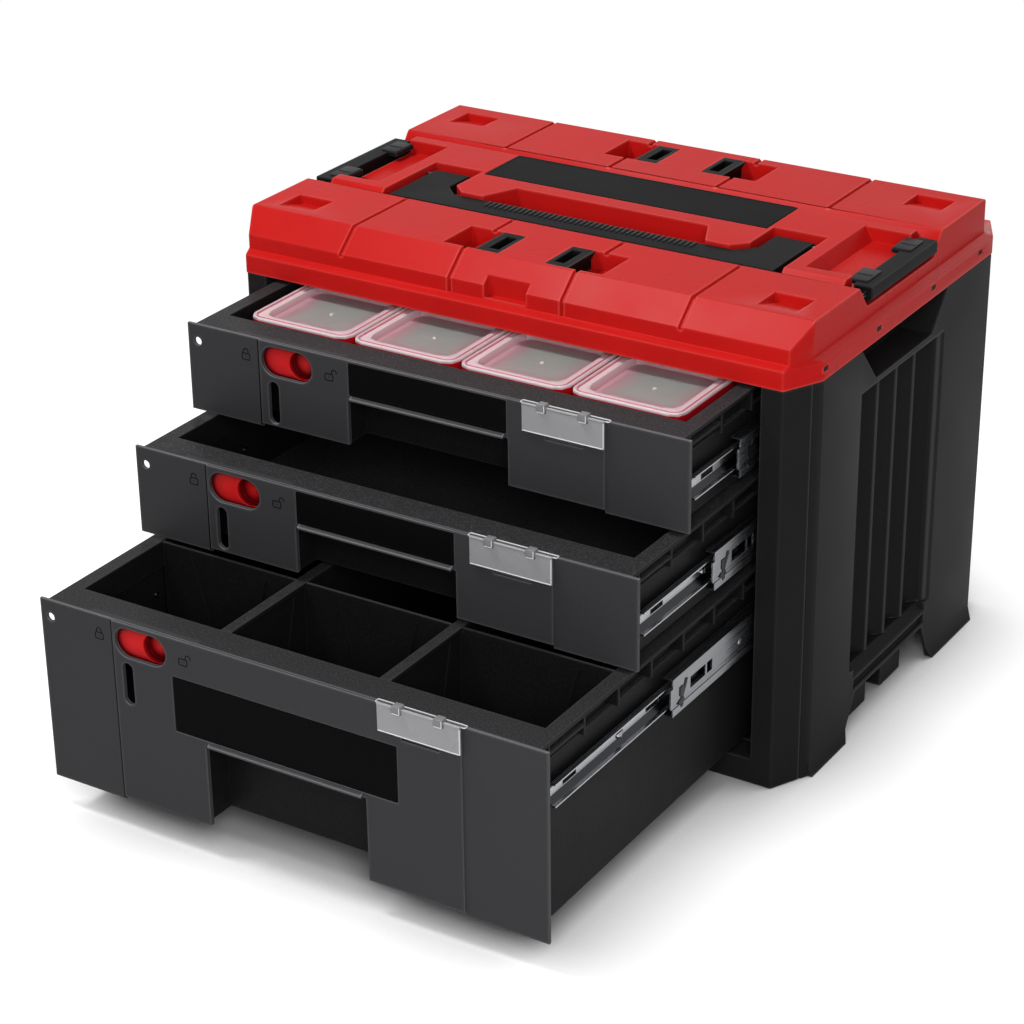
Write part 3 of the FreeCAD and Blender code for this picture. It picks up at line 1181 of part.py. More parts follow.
def build_case():
    right = side_wall()
    save("front_frame", front_frame())
    save("side_wall_right", right)
    save("side_wall_left", mirrored(right))
    save("back_wall", back_wall())
    save("base", base())
    save("lid", lid())
    save("stack_catches", stack_catches())
    save("carry_handle", handle())
    save("handle_pins", handle_pins())
    latch = stack_latch()
    save("stack_latch_right", latch)
    save("stack_latch_left", mirrored(latch))
    save("latch_pins", latch_pins())


def build_drawer(name, bottom, top, opened):
    front = -opened
    height = top - RAIL_DOWN
    save("drawer_panel_%s" % name, front_panel(name, bottom, top, front))
    save("drawer_tray_%s" % name, tray(name, bottom, top, front))
    save("lock_slider_%s" % name, lock_slider(front, top))
    save("label_cover_%s" % name, label_cover(front, top))
    save("label_card_%s" % name, label_card(front, top))
    save("slide_inner_%s" % name, Part.makeCompound(both_sides([inner_rail(front, height)])))
    save("slide_outer_%s" % name, Part.makeCompound(both_sides([outer_rail(height)])))
    middle = middle_rail(front, height)
    cages = ball_cages(front, height)
    save("slide_middle_%s_right" % name, middle)
    save("slide_middle_%s_left" % name, mirrored(middle))
    save("ball_cages_%s_right" % name, Part.makeCompound(cages))
    save("ball_cages_%s_left" % name, Part.makeCompound([mirrored(bar) for bar in cages]))


def build_contents():
    _, deep_bottom, deep_top, deep_open = DRAWERS[0]
    partition = divider(deep_bottom, deep_top, -deep_open)
    save("divider_right", partition)
    save("divider_left", mirrored(partition))
    save("cross_walls", cross_walls(deep_bottom, deep_top, -deep_open))
    _, bottom, top, opened = DRAWERS[-1]
    for number, corner in enumerate(bin_places(-opened, 0), 1):
        save("bin_%d" % number, small_bin(corner, bottom, top))
        save("bin_lid_%d" % number, bin_lid(corner, bottom, top))
    hidden = [corner for row in range(1, BIN_ROWS) for corner in bin_places(-opened, row)]
    save("rear_bins", Part.makeCompound([small_bin(corner, bottom, top) for corner in hidden]))
    save("rear_bin_lids", Part.makeCompound([bin_lid(corner, bottom, top) for corner in hidden]))


def main():
    os.makedirs("parts", exist_ok=True)
    build_case()
    for drawer in DRAWERS:
        build_drawer(*drawer)
    build_contents()


main()
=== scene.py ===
import math

import bmesh
import bpy
import numpy as np
from mathutils import Matrix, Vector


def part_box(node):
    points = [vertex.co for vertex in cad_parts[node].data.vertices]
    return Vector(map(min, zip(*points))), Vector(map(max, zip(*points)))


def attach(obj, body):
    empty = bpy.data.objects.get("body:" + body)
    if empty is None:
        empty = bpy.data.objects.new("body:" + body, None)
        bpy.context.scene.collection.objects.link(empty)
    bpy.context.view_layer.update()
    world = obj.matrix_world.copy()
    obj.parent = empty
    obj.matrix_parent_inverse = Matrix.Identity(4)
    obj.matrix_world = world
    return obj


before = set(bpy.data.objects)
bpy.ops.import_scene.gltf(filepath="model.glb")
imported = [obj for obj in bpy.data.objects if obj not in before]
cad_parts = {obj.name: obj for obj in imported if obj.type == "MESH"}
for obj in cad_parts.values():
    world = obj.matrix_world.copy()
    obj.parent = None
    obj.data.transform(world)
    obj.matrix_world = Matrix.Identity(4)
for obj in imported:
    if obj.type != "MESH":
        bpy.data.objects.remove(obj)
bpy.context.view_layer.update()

bl_info = {
    "name": "Stackable Tool Case",
    "version": (1, 0, 0),
    "blender": (4, 5, 0),
    "location": "View3D > Sidebar > Tool Case",
    "description": "Finishes, small hardware and studio stage of a tool case with three drawers",
    "category": "Object",
}

MM = 0.001
DRAWERS = ("bottom", "middle", "top")
SIDES = (("left", -1.0), ("right", 1.0))
ACROSS, BACK, UP = (1.0, 0.0, 0.0), (0.0, 1.0, 0.0), (0.0, 0.0, 1.0)
FORWARD, LEFTWARD = (0.0, -1.0, 0.0), (-1.0, 0.0, 0.0)
PANEL_THICK = 3.0 * MM
WING_STEP = 1.0 * MM        # from a panel's centre back to its left wing


# Properties

class CaseFinishes(bpy.types.PropertyGroup):
    """Colours of the finishes as sRGB hex codes, and the sizes of their grain."""

    lid_red: bpy.props.StringProperty(
        name="Lid red", description="Moulded colour of the lid", default="#BA1A18")
    # Painted highlight: a lighter red at the lid's convex edges, where light catches them.
    lid_painted_highlight: bpy.props.StringProperty(
        name="Lid worn", description="Rubbed edges of the lid", default="#D9504A")
    case_charcoal: bpy.props.StringProperty(
        name="Case charcoal", description="Moulded colour of the case walls", default="#1E1E1F")
    # Painted highlight: a lighter charcoal at the convex edges of the case walls.
    case_painted_highlight: bpy.props.StringProperty(
        name="Case worn", description="Rubbed edges of the case walls", default="#434345")
    panel_charcoal: bpy.props.StringProperty(
        name="Panel charcoal", description="Moulded colour of the drawers' panels", default="#38383A")
    # The flecks are grain. On faces that look up they show most, as a painted sparkle.
    panel_fleck: bpy.props.StringProperty(
        name="Panel fleck", description="Lighter flecks in the panels' grain", default="#424244")
    # Painted highlight: a lighter colour at the panels' convex edges.
    panel_painted_highlight: bpy.props.StringProperty(
        name="Panel worn", description="Rubbed edges of the panels", default="#747477")
    tray_black: bpy.props.StringProperty(
        name="Tray black", description="Moulded colour of the trays", default="#161617")
    # The flecks are grain. On faces that look up they show most, as a painted sparkle.
    tray_fleck: bpy.props.StringProperty(
        name="Tray fleck", description="Lighter flecks in the trays' grain", default="#4A4A4C")
    # Painted top light: the trays' faces that look up are drawn lighter, as light from above falls on them.
    tray_painted_top_light: bpy.props.StringProperty(
        name="Tray rim", description="Faces of the trays that look up", default="#2A2A2B")
    # Painted highlight: a lighter colour at the trays' convex edges.
    tray_painted_highlight: bpy.props.StringProperty(
        name="Tray worn", description="Rubbed edges of the trays", default="#3C3C3E")
    catch_black: bpy.props.StringProperty(
        name="Catch black", description="Handle, latches and catches", default="#101011")
    # Painted highlight: a lighter colour at the convex edges of the handle, latches and catches.
    catch_painted_highlight: bpy.props.StringProperty(
        name="Catch worn", description="Rubbed edges of the handle, latches and catches", default="#363638")
    lock_red: bpy.props.StringProperty(
        name="Lock red", description="Sliding locks", default="#D61E20")
    # Painted shade: the deep red inside the locks' finger cups, where their walls keep the light out.
    lock_painted_cup_shade: bpy.props.StringProperty(
        name="Lock deep red", description="Red inside the locks' finger cups", default="#4C0106")
    bin_red: bpy.props.StringProperty(
        name="Bin red", description="Small-parts bins", default="#B5121C")
    frosted_middle: bpy.props.StringProperty(
        name="Frosted middle", description="Thin middle of a bin lid", default="#CAD2CE")
    # Painted see-through: the bin's red walls drawn into the lid's middle near its edges.
    frosted_painted_red: bpy.props.StringProperty(
        name="Frosted blush", description="Middle of a bin lid near the bin's red walls", default="#E8B6C0")
    frosted_border: bpy.props.StringProperty(
        name="Frosted border", description="Thick border of a bin lid", default="#F2DCE0")
    bead_white: bpy.props.StringProperty(
        name="Bead white", description="Outer bead and gate mark of a bin lid", default="#F0E2E5")
    # Painted see-through: the bin's red drawn into the inner bead.
    bead_painted_red: bpy.props.StringProperty(
        name="Bead pink", description="Inner bead of a bin lid, which shows the bin's red",
        default="#D28090")
    cover_grey: bpy.props.StringProperty(
        name="Cover grey", description="Half-clear flap over a label", default="#929294")
    # Painted highlight: the flap's edge, the bar over it and the lines on the clips are drawn near white.
    cover_painted_highlight: bpy.props.StringProperty(
        name="Edge white", description="Edges and clips of a label cover, which gather light",
        default="#E2E2E4")
    clip_grey: bpy.props.StringProperty(
        name="Clip grey", description="Half-clear clips that hold a label cover", default="#78787A")
    card_grey: bpy.props.StringProperty(
        name="Card grey", description="Card behind a label cover", default="#8D8D8E")
    zinc: bpy.props.StringProperty(
        name="Zinc", description="Plated steel of the slides", default="#B4B6BA")
    # Painted glint: the screw points inside the trays are drawn near white.
    screw_painted_glint: bpy.props.StringProperty(
        name="Screw white", description="Bright points of the screws inside the trays", default="#E8EAEC")
    # Painted shade: the travelling members are drawn darker, as they lie in shade between the case and the
    # drawers.
    zinc_painted_shade: bpy.props.StringProperty(
        name="Dull zinc", description="Greasy travelling members of the slides", default="#8E9094")
    # A darker colour on the slanted sides of the slides' tracks.
    slanted_dark: bpy.props.StringProperty(
        name="Grease", description="Greased tracks of the slides", default="#3A3A3D")
    plate_black: bpy.props.StringProperty(
        name="Plate black", description="Bare plates on the lid and the panels", default="#0B0B0C")
    sign_black: bpy.props.StringProperty(
        name="Sign black", description="Lines of the lock signs", default="#0A0A0A")
    fine_grain: bpy.props.FloatProperty(
        name="Fine grain", description="Width of the satin grain", default=0.9 * MM, unit="LENGTH")
    coarse_grain: bpy.props.FloatProperty(
        name="Coarse grain", description="Width of the pebbled grain", default=1.1 * MM, unit="LENGTH")
    cloud: bpy.props.FloatProperty(
        name="Cloud", description="Width of the faint clouds in the mouldings",
        default=70 * MM, unit="LENGTH")
    soft_edge: bpy.props.FloatProperty(
        name="Soft edge", description="Radius of the edges of panels and trays",
        default=0.6 * MM, unit="LENGTH")
    # How far from a convex edge the painted highlight reaches.
    painted_highlight_reach: bpy.props.FloatProperty(
        name="Wear", description="How far from an edge the moulding is rubbed",
        default=1.8 * MM, unit="LENGTH")


class CaseHardware(bpy.types.PropertyGroup):
    """Sizes of the small pieces."""

    plate_rim: bpy.props.FloatProperty(
        name="Plate rim", description="Width of a plate's raised rim", default=1.4 * MM, unit="LENGTH")
    plate_corner: bpy.props.FloatProperty(
        name="Plate corner", description="Radius of a plate's corners", default=1.6 * MM, unit="LENGTH")
    screw_radius: bpy.props.FloatProperty(
        name="Screw head", description="Radius of a slide's screw heads", default=3.5 * MM, unit="LENGTH")
    screw_height: bpy.props.FloatProperty(
        name="Screw height", description="Height of a slide's screw heads", default=1.9 * MM, unit="LENGTH")
    screw_first: bpy.props.FloatProperty(
        name="First screw", description="From a slide's front end", default=82 * MM, unit="LENGTH")
    screw_second: bpy.props.FloatProperty(
        name="Second screw", description="From a slide's front end", default=205 * MM, unit="LENGTH")
    sign_width: bpy.props.FloatProperty(
        name="Sign width", description="Width of a padlock sign", default=6.2 * MM, unit="LENGTH")
    sign_line: bpy.props.FloatProperty(
        name="Sign line", description="Width of a sign's line", default=0.75 * MM, unit="LENGTH")
    rib_pitch: bpy.props.FloatProperty(
        name="Rib pitch", description="Spacing of the ribs on the handle", default=4.0 * MM, unit="LENGTH")
    rib_count: bpy.props.IntProperty(
        name="Ribs", description="Number of ribs on the handle", default=41, min=3)
    bead: bpy.props.FloatProperty(
        name="Bead", description="Width of the bead round a bin lid", default=1.3 * MM, unit="LENGTH")


class CaseStudio(bpy.types.PropertyGroup):
    """Camera and lamps of the studio."""

    azimuth: bpy.props.FloatProperty(
        name="Azimuth", description="Camera angle round the case", default=math.radians(32.289),
        subtype="ANGLE")
    elevation: bpy.props.FloatProperty(
        name="Elevation", description="Camera angle above the floor", default=math.radians(25.709),
        subtype="ANGLE")
    roll: bpy.props.FloatProperty(
        name="Roll", description="Camera turn about its own axis", default=math.radians(-0.732),
        subtype="ANGLE")
    distance: bpy.props.FloatProperty(
        name="Distance", description="From the camera to the target", default=1868.8 * MM, unit="LENGTH")
    aside: bpy.props.FloatProperty(
        name="Aside", description="Camera's step to its right", default=5.77 * MM, unit="LENGTH")
    above: bpy.props.FloatProperty(
        name="Above", description="Camera's step upwards", default=2.13 * MM, unit="LENGTH")
    target_height: bpy.props.FloatProperty(
        name="Target height", description="Height of the point looked at", default=150 * MM, unit="LENGTH")
    lens: bpy.props.FloatProperty(
        name="Lens", description="Focal length in millimetres on a 36 mm sensor", default=98.01)
    ambient: bpy.props.FloatProperty(
        name="Ambient", description="Light from all round", default=0.28)
    key_power: bpy.props.FloatProperty(
        name="Key", description="Power of the softbox above the left", default=24.0, unit="POWER")
    front_power: bpy.props.FloatProperty(
        name="Front", description="Power of the softbox at the front right", default=9.5, unit="POWER")
    rear_power: bpy.props.FloatProperty(
        name="Rear", description="Power of the softbox behind the case", default=8.0, unit="POWER")
    floor_glow: bpy.props.FloatProperty(
        name="Floor glow", description="Share of white that the open floor shows of itself", default=0.8)
    shadow_reach: bpy.props.FloatProperty(
        name="Shadow reach", description="How near the case takes away the floor's glow",
        default=100 * MM, unit="LENGTH")


# Colours and nodes

def linear(code):
    """Linear colour of an sRGB hex code."""
    channels = np.array([int(code[start:start + 2], 16) for start in (1, 3, 5)]) / 255.0
    values = np.where(channels <= 0.04045, channels / 12.92, ((channels + 0.055) / 1.055) ** 2.4)
    return (*values.tolist(), 1.0)


def add(tree, kind, inputs=None, **settings):
    """Adds a node with its settings, and fills its inputs with values or links."""
    made = tree.nodes.new(kind)
    for key, value in settings.items():
        setattr(made, key, value)
    for key, value in (inputs or {}).items():
        if isinstance(value, bpy.types.NodeSocket):
            tree.links.new(value, made.inputs[key])
        else:
            made.inputs[key].default_value = value
    return made


def new_material(name):
    """A material with an empty node tree, and that tree."""
    material = bpy.data.materials.new(name)
    material.use_nodes = True
    material.node_tree.nodes.clear()
    return material, material.node_tree


def finishes():
    """Colours and grain that the user has set."""
    return bpy.context.scene.case_finishes


def hardware():
    """Sizes of the small pieces that the user has set."""
    return bpy.context.scene.case_hardware


def studio():
    """Camera and lamps that the user has set."""
    return bpy.context.scene.case_studio


# Materials

WHITE = "#FFFFFF"
PLASTIC_IOR = 1.49
POLYCARBONATE_IOR = 1.58
NOISE_LOW, NOISE_HIGH = 0.3, 0.7    # where most of a noise pattern lies

# Widths of the patterns
MIST_WIDTH = 12 * MM
HAZE_WIDTH = 25 * MM
WAVE_WIDTH = 11 * MM
FIBRE_WIDTH = 0.7 * MM
ROLL_LINE_WIDTH = 0.8 * MM
ROLL_LINE_LENGTH = 60 * MM
ROLL_LINE_DEPTH = 0.02 * MM
PATCH_WIDTH = 14 * MM

# Bin lids: heights of the sunk middle and the border, and distances from an edge
MIDDLE_RISE = 1.6 * MM
BORDER_DROP = 0.2 * MM
# Distances from an edge over which the painted red of the bin walls fades out.
PAINTED_RED_START = 8 * MM
PAINTED_RED_END = 28 * MM
MILKY_END = 6 * MM
CLEAR_START = 14 * MM

# Painted shade in a finger cup, drawn where its walls are near.
CUP_SHADE_REACH = 9 * MM          # how far the walls of a finger cup darken it


def painted_highlight_edges(tree, body, painted_highlight, facing=None):
    """Blends in a lighter colour at convex edges, where rays sent inwards soon meet the next face: a painted
    highlight.

    With the facing given, edges that look up get the most of the painted highlight, as if lit from above.
    """
    inward = add(tree, "ShaderNodeAmbientOcclusion", {"Distance": finishes().painted_highlight_reach}, samples=6, inside=True,
                 only_local=True)
    # Painted highlight: the share of the lighter colour grows towards a convex edge.
    rubbed = add(tree, "ShaderNodeMapRange",
                 {"Value": inward.outputs["AO"], "From Min": 0.92, "From Max": 0.5})
    share = rubbed.outputs["Result"]
    # Painted light from above: edges that look up get the most of the painted highlight.
    if facing:
        upward = add(tree, "ShaderNodeMapRange",
                     {"Value": facing.outputs["Z"], "From Min": 0.1, "From Max": 0.5,
                      "To Min": 0.3, "To Max": 1.0})
        share = add(tree, "ShaderNodeMath", {0: share, 1: upward.outputs["Result"]},
                    operation="MULTIPLY").outputs["Value"]
    return add(tree, "ShaderNodeMix", {0: share, 6: body.outputs[2], 7: linear(painted_highlight)}, data_type="RGBA")


def satin_moulding(name, colour, roughness, specular, relief, painted_highlight=None, tint=0.10):
    """Polypropylene or nylon from a fine spark-eroded mould.

    The eye gets an even body colour with soft highlights, a fine grain that breaks them up, and faint
    clouds of colour and gloss where the melt cooled unevenly.
    """
    look = finishes()
    material, tree = new_material(name)
    place = add(tree, "ShaderNodeTexCoord").outputs["Object"]
    cloud = add(tree, "ShaderNodeTexNoise", {"Vector": place, "Scale": 1 / look.cloud, "Detail": 3.0})
    grain = add(tree, "ShaderNodeTexNoise",
                {"Vector": place, "Scale": 1 / look.fine_grain, "Detail": 3.0, "Roughness": 0.6})
    base = linear(colour)
    lighter = tuple(min(1.0, channel * (1 + 2 * tint)) for channel in base[:3]) + (1.0,)
    body = add(tree, "ShaderNodeMix", {0: cloud.outputs["Fac"], 6: base, 7: lighter}, data_type="RGBA")
    # Painted highlight along the convex edges.
    if painted_highlight:
        body = painted_highlight_edges(tree, body, painted_highlight)
    gloss = add(tree, "ShaderNodeMapRange",
                {"Value": cloud.outputs["Fac"], "From Min": NOISE_LOW, "From Max": NOISE_HIGH,
                 "To Min": roughness - 0.04, "To Max": roughness + 0.05})
    bump = add(tree, "ShaderNodeBump",
               {"Strength": 1.0, "Distance": relief, "Height": grain.outputs["Fac"]})
    shader = add(tree, "ShaderNodeBsdfPrincipled",
                 {"Base Color": body.outputs[2], "Roughness": gloss.outputs["Result"], "IOR": PLASTIC_IOR,
                  "Specular IOR Level": specular, "Normal": bump.outputs["Normal"]})
    add(tree, "ShaderNodeOutputMaterial", {"Surface": shader.outputs["BSDF"]})
    return material


def pebbled_moulding(name, colour, upper, fleck, painted_highlight, roughness, specular, relief):
    """Polypropylene from a coarse etched mould.

    The eye gets dark panels with lighter flecks in the pebbled grain. The flecks are painted brighter on
    faces that look up as a painted sparkle. Faces that look up also take a lighter upper colour as painted
    top light, and convex edges get a painted highlight. The real pebbles are about half as wide; they are
    drawn coarser so that they show.
    """
    look = finishes()
    material, tree = new_material(name)
    place = add(tree, "ShaderNodeTexCoord").outputs["Object"]
    cloud = add(tree, "ShaderNodeTexNoise", {"Vector": place, "Scale": 1 / look.cloud, "Detail": 3.0})
    pebble = add(tree, "ShaderNodeTexNoise",
                 {"Vector": place, "Scale": 1 / look.coarse_grain, "Detail": 4.0, "Roughness": 0.65})
    rounded = add(tree, "ShaderNodeBevel", {"Radius": look.soft_edge}, samples=6)
    facing = add(tree, "ShaderNodeSeparateXYZ", {"Vector": rounded.outputs["Normal"]})
    # Painted top light: faces that look up take the upper colour.
    upward = add(tree, "ShaderNodeMapRange",
                 {"Value": facing.outputs["Z"], "From Min": 0.5, "From Max": 0.95})
    base = add(tree, "ShaderNodeMix", {0: upward.outputs["Result"], 6: linear(colour), 7: linear(upper)},
               data_type="RGBA")
    # Painted sparkle: the flecks show most on faces that look up.
    sparkle = add(tree, "ShaderNodeMapRange", {"Value": upward.outputs["Result"], "To Min": 0.12})
    spark = add(tree, "ShaderNodeMapRange",
                {"Value": pebble.outputs["Fac"], "From Min": 0.50, "From Max": 0.68})
    share = add(tree, "ShaderNodeMath", {0: spark.outputs["Result"], 1: sparkle.outputs["Result"]},
                operation="MULTIPLY")
    body = add(tree, "ShaderNodeMix", {0: share.outputs["Value"], 6: base.outputs[2], 7: linear(fleck)},
               data_type="RGBA")
    # Painted highlight along convex edges, most on edges that look up.
    body = painted_highlight_edges(tree, body, painted_highlight, facing)
    gloss = add(tree, "ShaderNodeMapRange",
                {"Value": cloud.outputs["Fac"], "From Min": NOISE_LOW, "From Max": NOISE_HIGH,
                 "To Min": roughness - 0.05, "To Max": roughness + 0.05})
    bump = add(tree, "ShaderNodeBump",
               {"Strength": 1.0, "Distance": relief, "Height": pebble.outputs["Fac"],
                "Normal": rounded.outputs["Normal"]})
    shader = add(tree, "ShaderNodeBsdfPrincipled",
                 {"Base Color": body.outputs[2], "Roughness": gloss.outputs["Result"], "IOR": PLASTIC_IOR,
                  "Specular IOR Level": specular, "Normal": bump.outputs["Normal"]})
    add(tree, "ShaderNodeOutputMaterial", {"Surface": shader.outputs["BSDF"]})
    return material


def frosted_lid(name):
    """Natural polypropylene, thin and frosted in the middle and thick at the border.

    The eye gets a grey, half-clear middle and a milky border. Near the edges of the middle, the bin's red
    walls are painted in as if showing through. How near a point is to an edge comes from a zigzag over the
    spacing of the bins.
    """
    look = finishes()
    material, tree = new_material(name)
    place = add(tree, "ShaderNodeTexCoord").outputs["Object"]
    lowest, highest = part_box("bin_lid_1")
    pitch_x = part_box("bin_lid_2")[0].x - lowest.x
    pitch_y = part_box("rear_bin_lids")[0].y - lowest.y
    spot = add(tree, "ShaderNodeSeparateXYZ", {"Vector": place})
    thick = add(tree, "ShaderNodeMapRange",
                {"Value": spot.outputs["Z"], "From Min": lowest.z + MIDDLE_RISE,
                 "From Max": highest.z - BORDER_DROP})
    mist = add(tree, "ShaderNodeTexNoise", {"Vector": place, "Scale": 1 / MIST_WIDTH, "Detail": 4.0})
    edges = []
    for axis, first, pitch in (("X", lowest.x, pitch_x), ("Y", lowest.y, pitch_y)):
        shifted = add(tree, "ShaderNodeMath", {0: spot.outputs[axis], 1: first}, operation="SUBTRACT")
        edges.append(add(tree, "ShaderNodeMath", {0: shifted.outputs["Value"], 1: pitch / 2},
                         operation="PINGPONG"))
    nearest = add(tree, "ShaderNodeMath", {0: edges[0].outputs["Value"], 1: edges[1].outputs["Value"]},
                  operation="MINIMUM")
    # Painted see-through: the middle turns pink near the bin's red walls.
    inside = add(tree, "ShaderNodeMapRange",
                 {"Value": nearest.outputs["Value"], "From Min": PAINTED_RED_START, "From Max": PAINTED_RED_END},
                 interpolation_type="SMOOTHSTEP")
    middle = add(tree, "ShaderNodeMix",
                 {0: inside.outputs["Result"], 6: linear(look.frosted_painted_red),
                  7: linear(look.frosted_middle)}, data_type="RGBA")
    body = add(tree, "ShaderNodeMix",
               {0: thick.outputs["Result"], 6: middle.outputs[2], 7: linear(look.frosted_border)},
               data_type="RGBA")
    gloss = add(tree, "ShaderNodeMapRange",
                {"Value": mist.outputs["Fac"], "From Min": NOISE_LOW, "From Max": NOISE_HIGH,
                 "To Min": 0.30, "To Max": 0.42})
    clear = add(tree, "ShaderNodeMapRange",
                {"Value": nearest.outputs["Value"], "From Min": MILKY_END, "From Max": CLEAR_START,
                 "To Min": 0.2, "To Max": 0.62})
    shader = add(tree, "ShaderNodeBsdfPrincipled",
                 {"Base Color": body.outputs[2], "Roughness": gloss.outputs["Result"], "IOR": PLASTIC_IOR,
                  "Transmission Weight": clear.outputs["Result"]})
    add(tree, "ShaderNodeOutputMaterial", {"Surface": shader.outputs["BSDF"]})
    return material


def hazed_cover(name, colour, clear):
    """Polycarbonate, injection moulded and polished, with some haze from handling.

    The eye gets a smooth, half-clear grey with soft highlights, through which the card's edge just shows.
    """
    material, tree = new_material(name)
    place = add(tree, "ShaderNodeTexCoord").outputs["Object"]
    haze = add(tree, "ShaderNodeTexNoise", {"Vector": place, "Scale": 1 / HAZE_WIDTH, "Detail": 2.0})
    gloss = add(tree, "ShaderNodeMapRange",
                {"Value": haze.outputs["Fac"], "From Min": 0.35, "From Max": NOISE_HIGH,
                 "To Min": 0.26, "To Max": 0.31})
    shader = add(tree, "ShaderNodeBsdfPrincipled",
                 {"Base Color": linear(colour), "Roughness": gloss.outputs["Result"],
                  "IOR": POLYCARBONATE_IOR, "Specular IOR Level": 0.25, "Transmission Weight": clear})
    add(tree, "ShaderNodeOutputMaterial", {"Surface": shader.outputs["BSDF"]})
    return material


def polished_lock(name):
    """ABS, moulded glossy.

    The eye gets a clean red with small bright highlights, and a deep red painted in as shade inside the
    finger cup.
    """
    look = finishes()
    material, tree = new_material(name)
    place = add(tree, "ShaderNodeTexCoord").outputs["Object"]
    wave = add(tree, "ShaderNodeTexNoise", {"Vector": place, "Scale": 1 / WAVE_WIDTH, "Detail": 2.0})
    open_share = add(tree, "ShaderNodeAmbientOcclusion", {"Distance": CUP_SHADE_REACH}, samples=8)
    # Painted shade: the red deepens where the cup's walls are near.
    depth = add(tree, "ShaderNodeMapRange",
                {"Value": open_share.outputs["AO"], "From Min": 0.6, "From Max": 0.97})
    body = add(tree, "ShaderNodeMix",
               {0: depth.outputs["Result"], 6: linear(look.lock_painted_cup_shade), 7: linear(look.lock_red)},
               data_type="RGBA")
    gloss = add(tree, "ShaderNodeMapRange",
                {"Value": wave.outputs["Fac"], "From Min": NOISE_LOW, "From Max": NOISE_HIGH,
                 "To Min": 0.18, "To Max": 0.26})
    shader = add(tree, "ShaderNodeBsdfPrincipled",
                 {"Base Color": body.outputs[2], "Roughness": gloss.outputs["Result"], "IOR": PLASTIC_IOR,
                  "Specular IOR Level": 0.06})
    add(tree, "ShaderNodeOutputMaterial", {"Surface": shader.outputs["BSDF"]})
    return material


def paper_card(name):
    """Uncoated card. The eye gets a flat grey with short fibres in it."""
    look = finishes()
    material, tree = new_material(name)
    place = add(tree, "ShaderNodeTexCoord").outputs["Object"]
    fibre = add(tree, "ShaderNodeTexNoise", {"Vector": place, "Scale": 1 / FIBRE_WIDTH, "Detail": 4.0})
    base = linear(look.card_grey)
    paler = tuple(channel * 1.18 for channel in base[:3]) + (1.0,)
    body = add(tree, "ShaderNodeMix", {0: fibre.outputs["Fac"], 6: base, 7: paler}, data_type="RGBA")
    shader = add(tree, "ShaderNodeBsdfPrincipled", {"Base Color": body.outputs[2], "Roughness": 0.9})
    add(tree, "ShaderNodeOutputMaterial", {"Surface": shader.outputs["BSDF"]})
    return material


def zinc_plated_steel(name, colour, roughness):
    """Cold-rolled strip, roll formed along the case's depth and zinc plated.

    The eye gets a bright metal with fine rolling lines along the slide, a slightly patchy shine, and a
    darker colour on the slanted sides of the tracks.
    """
    look = finishes()
    material, tree = new_material(name)
    coordinates = add(tree, "ShaderNodeTexCoord")
    place = coordinates.outputs["Object"]
    facing = add(tree, "ShaderNodeSeparateXYZ", {"Vector": coordinates.outputs["Normal"]})
    level = add(tree, "ShaderNodeMath", {0: facing.outputs["Z"]}, operation="ABSOLUTE")
    slanted = add(tree, "ShaderNodeMapRange",
                  {"Value": level.outputs["Value"], "From Min": 0.1, "From Max": 0.25})
    flat = add(tree, "ShaderNodeMapRange",
               {"Value": level.outputs["Value"], "From Min": 0.96, "From Max": 0.86})
    track = add(tree, "ShaderNodeMath", {0: slanted.outputs["Result"], 1: flat.outputs["Result"]},
                operation="MULTIPLY")
    along = add(tree, "ShaderNodeMapping",
                {"Vector": place, "Scale": (1 / ROLL_LINE_WIDTH, 1 / ROLL_LINE_LENGTH, 1 / ROLL_LINE_WIDTH)})
    lines = add(tree, "ShaderNodeTexNoise",
                {"Vector": along.outputs["Vector"], "Scale": 1.0, "Detail": 3.0})
    patch = add(tree, "ShaderNodeTexNoise", {"Vector": place, "Scale": 1 / PATCH_WIDTH, "Detail": 3.0})
    base = linear(colour)
    duller = tuple(channel * 0.8 for channel in base[:3]) + (1.0,)
    plated = add(tree, "ShaderNodeMix", {0: patch.outputs["Fac"], 6: base, 7: duller}, data_type="RGBA")
    # Darker colour on the slanted sides of the tracks.
    body = add(tree, "ShaderNodeMix",
               {0: track.outputs["Value"], 6: plated.outputs[2], 7: linear(look.slanted_dark)}, data_type="RGBA")
    gloss = add(tree, "ShaderNodeMapRange",
                {"Value": lines.outputs["Fac"], "From Min": NOISE_LOW, "From Max": NOISE_HIGH,
                 "To Min": 0.75 * roughness, "To Max": 1.25 * roughness})
    bump = add(tree, "ShaderNodeBump",
               {"Strength": 0.5, "Distance": ROLL_LINE_DEPTH, "Height": lines.outputs["Fac"]})
    shader = add(tree, "ShaderNodeBsdfPrincipled",
                 {"Base Color": body.outputs[2], "Metallic": 1.0, "Roughness": gloss.outputs["Result"],
                  "Normal": bump.outputs["Normal"]})
    add(tree, "ShaderNodeOutputMaterial", {"Surface": shader.outputs["BSDF"]})
    return material


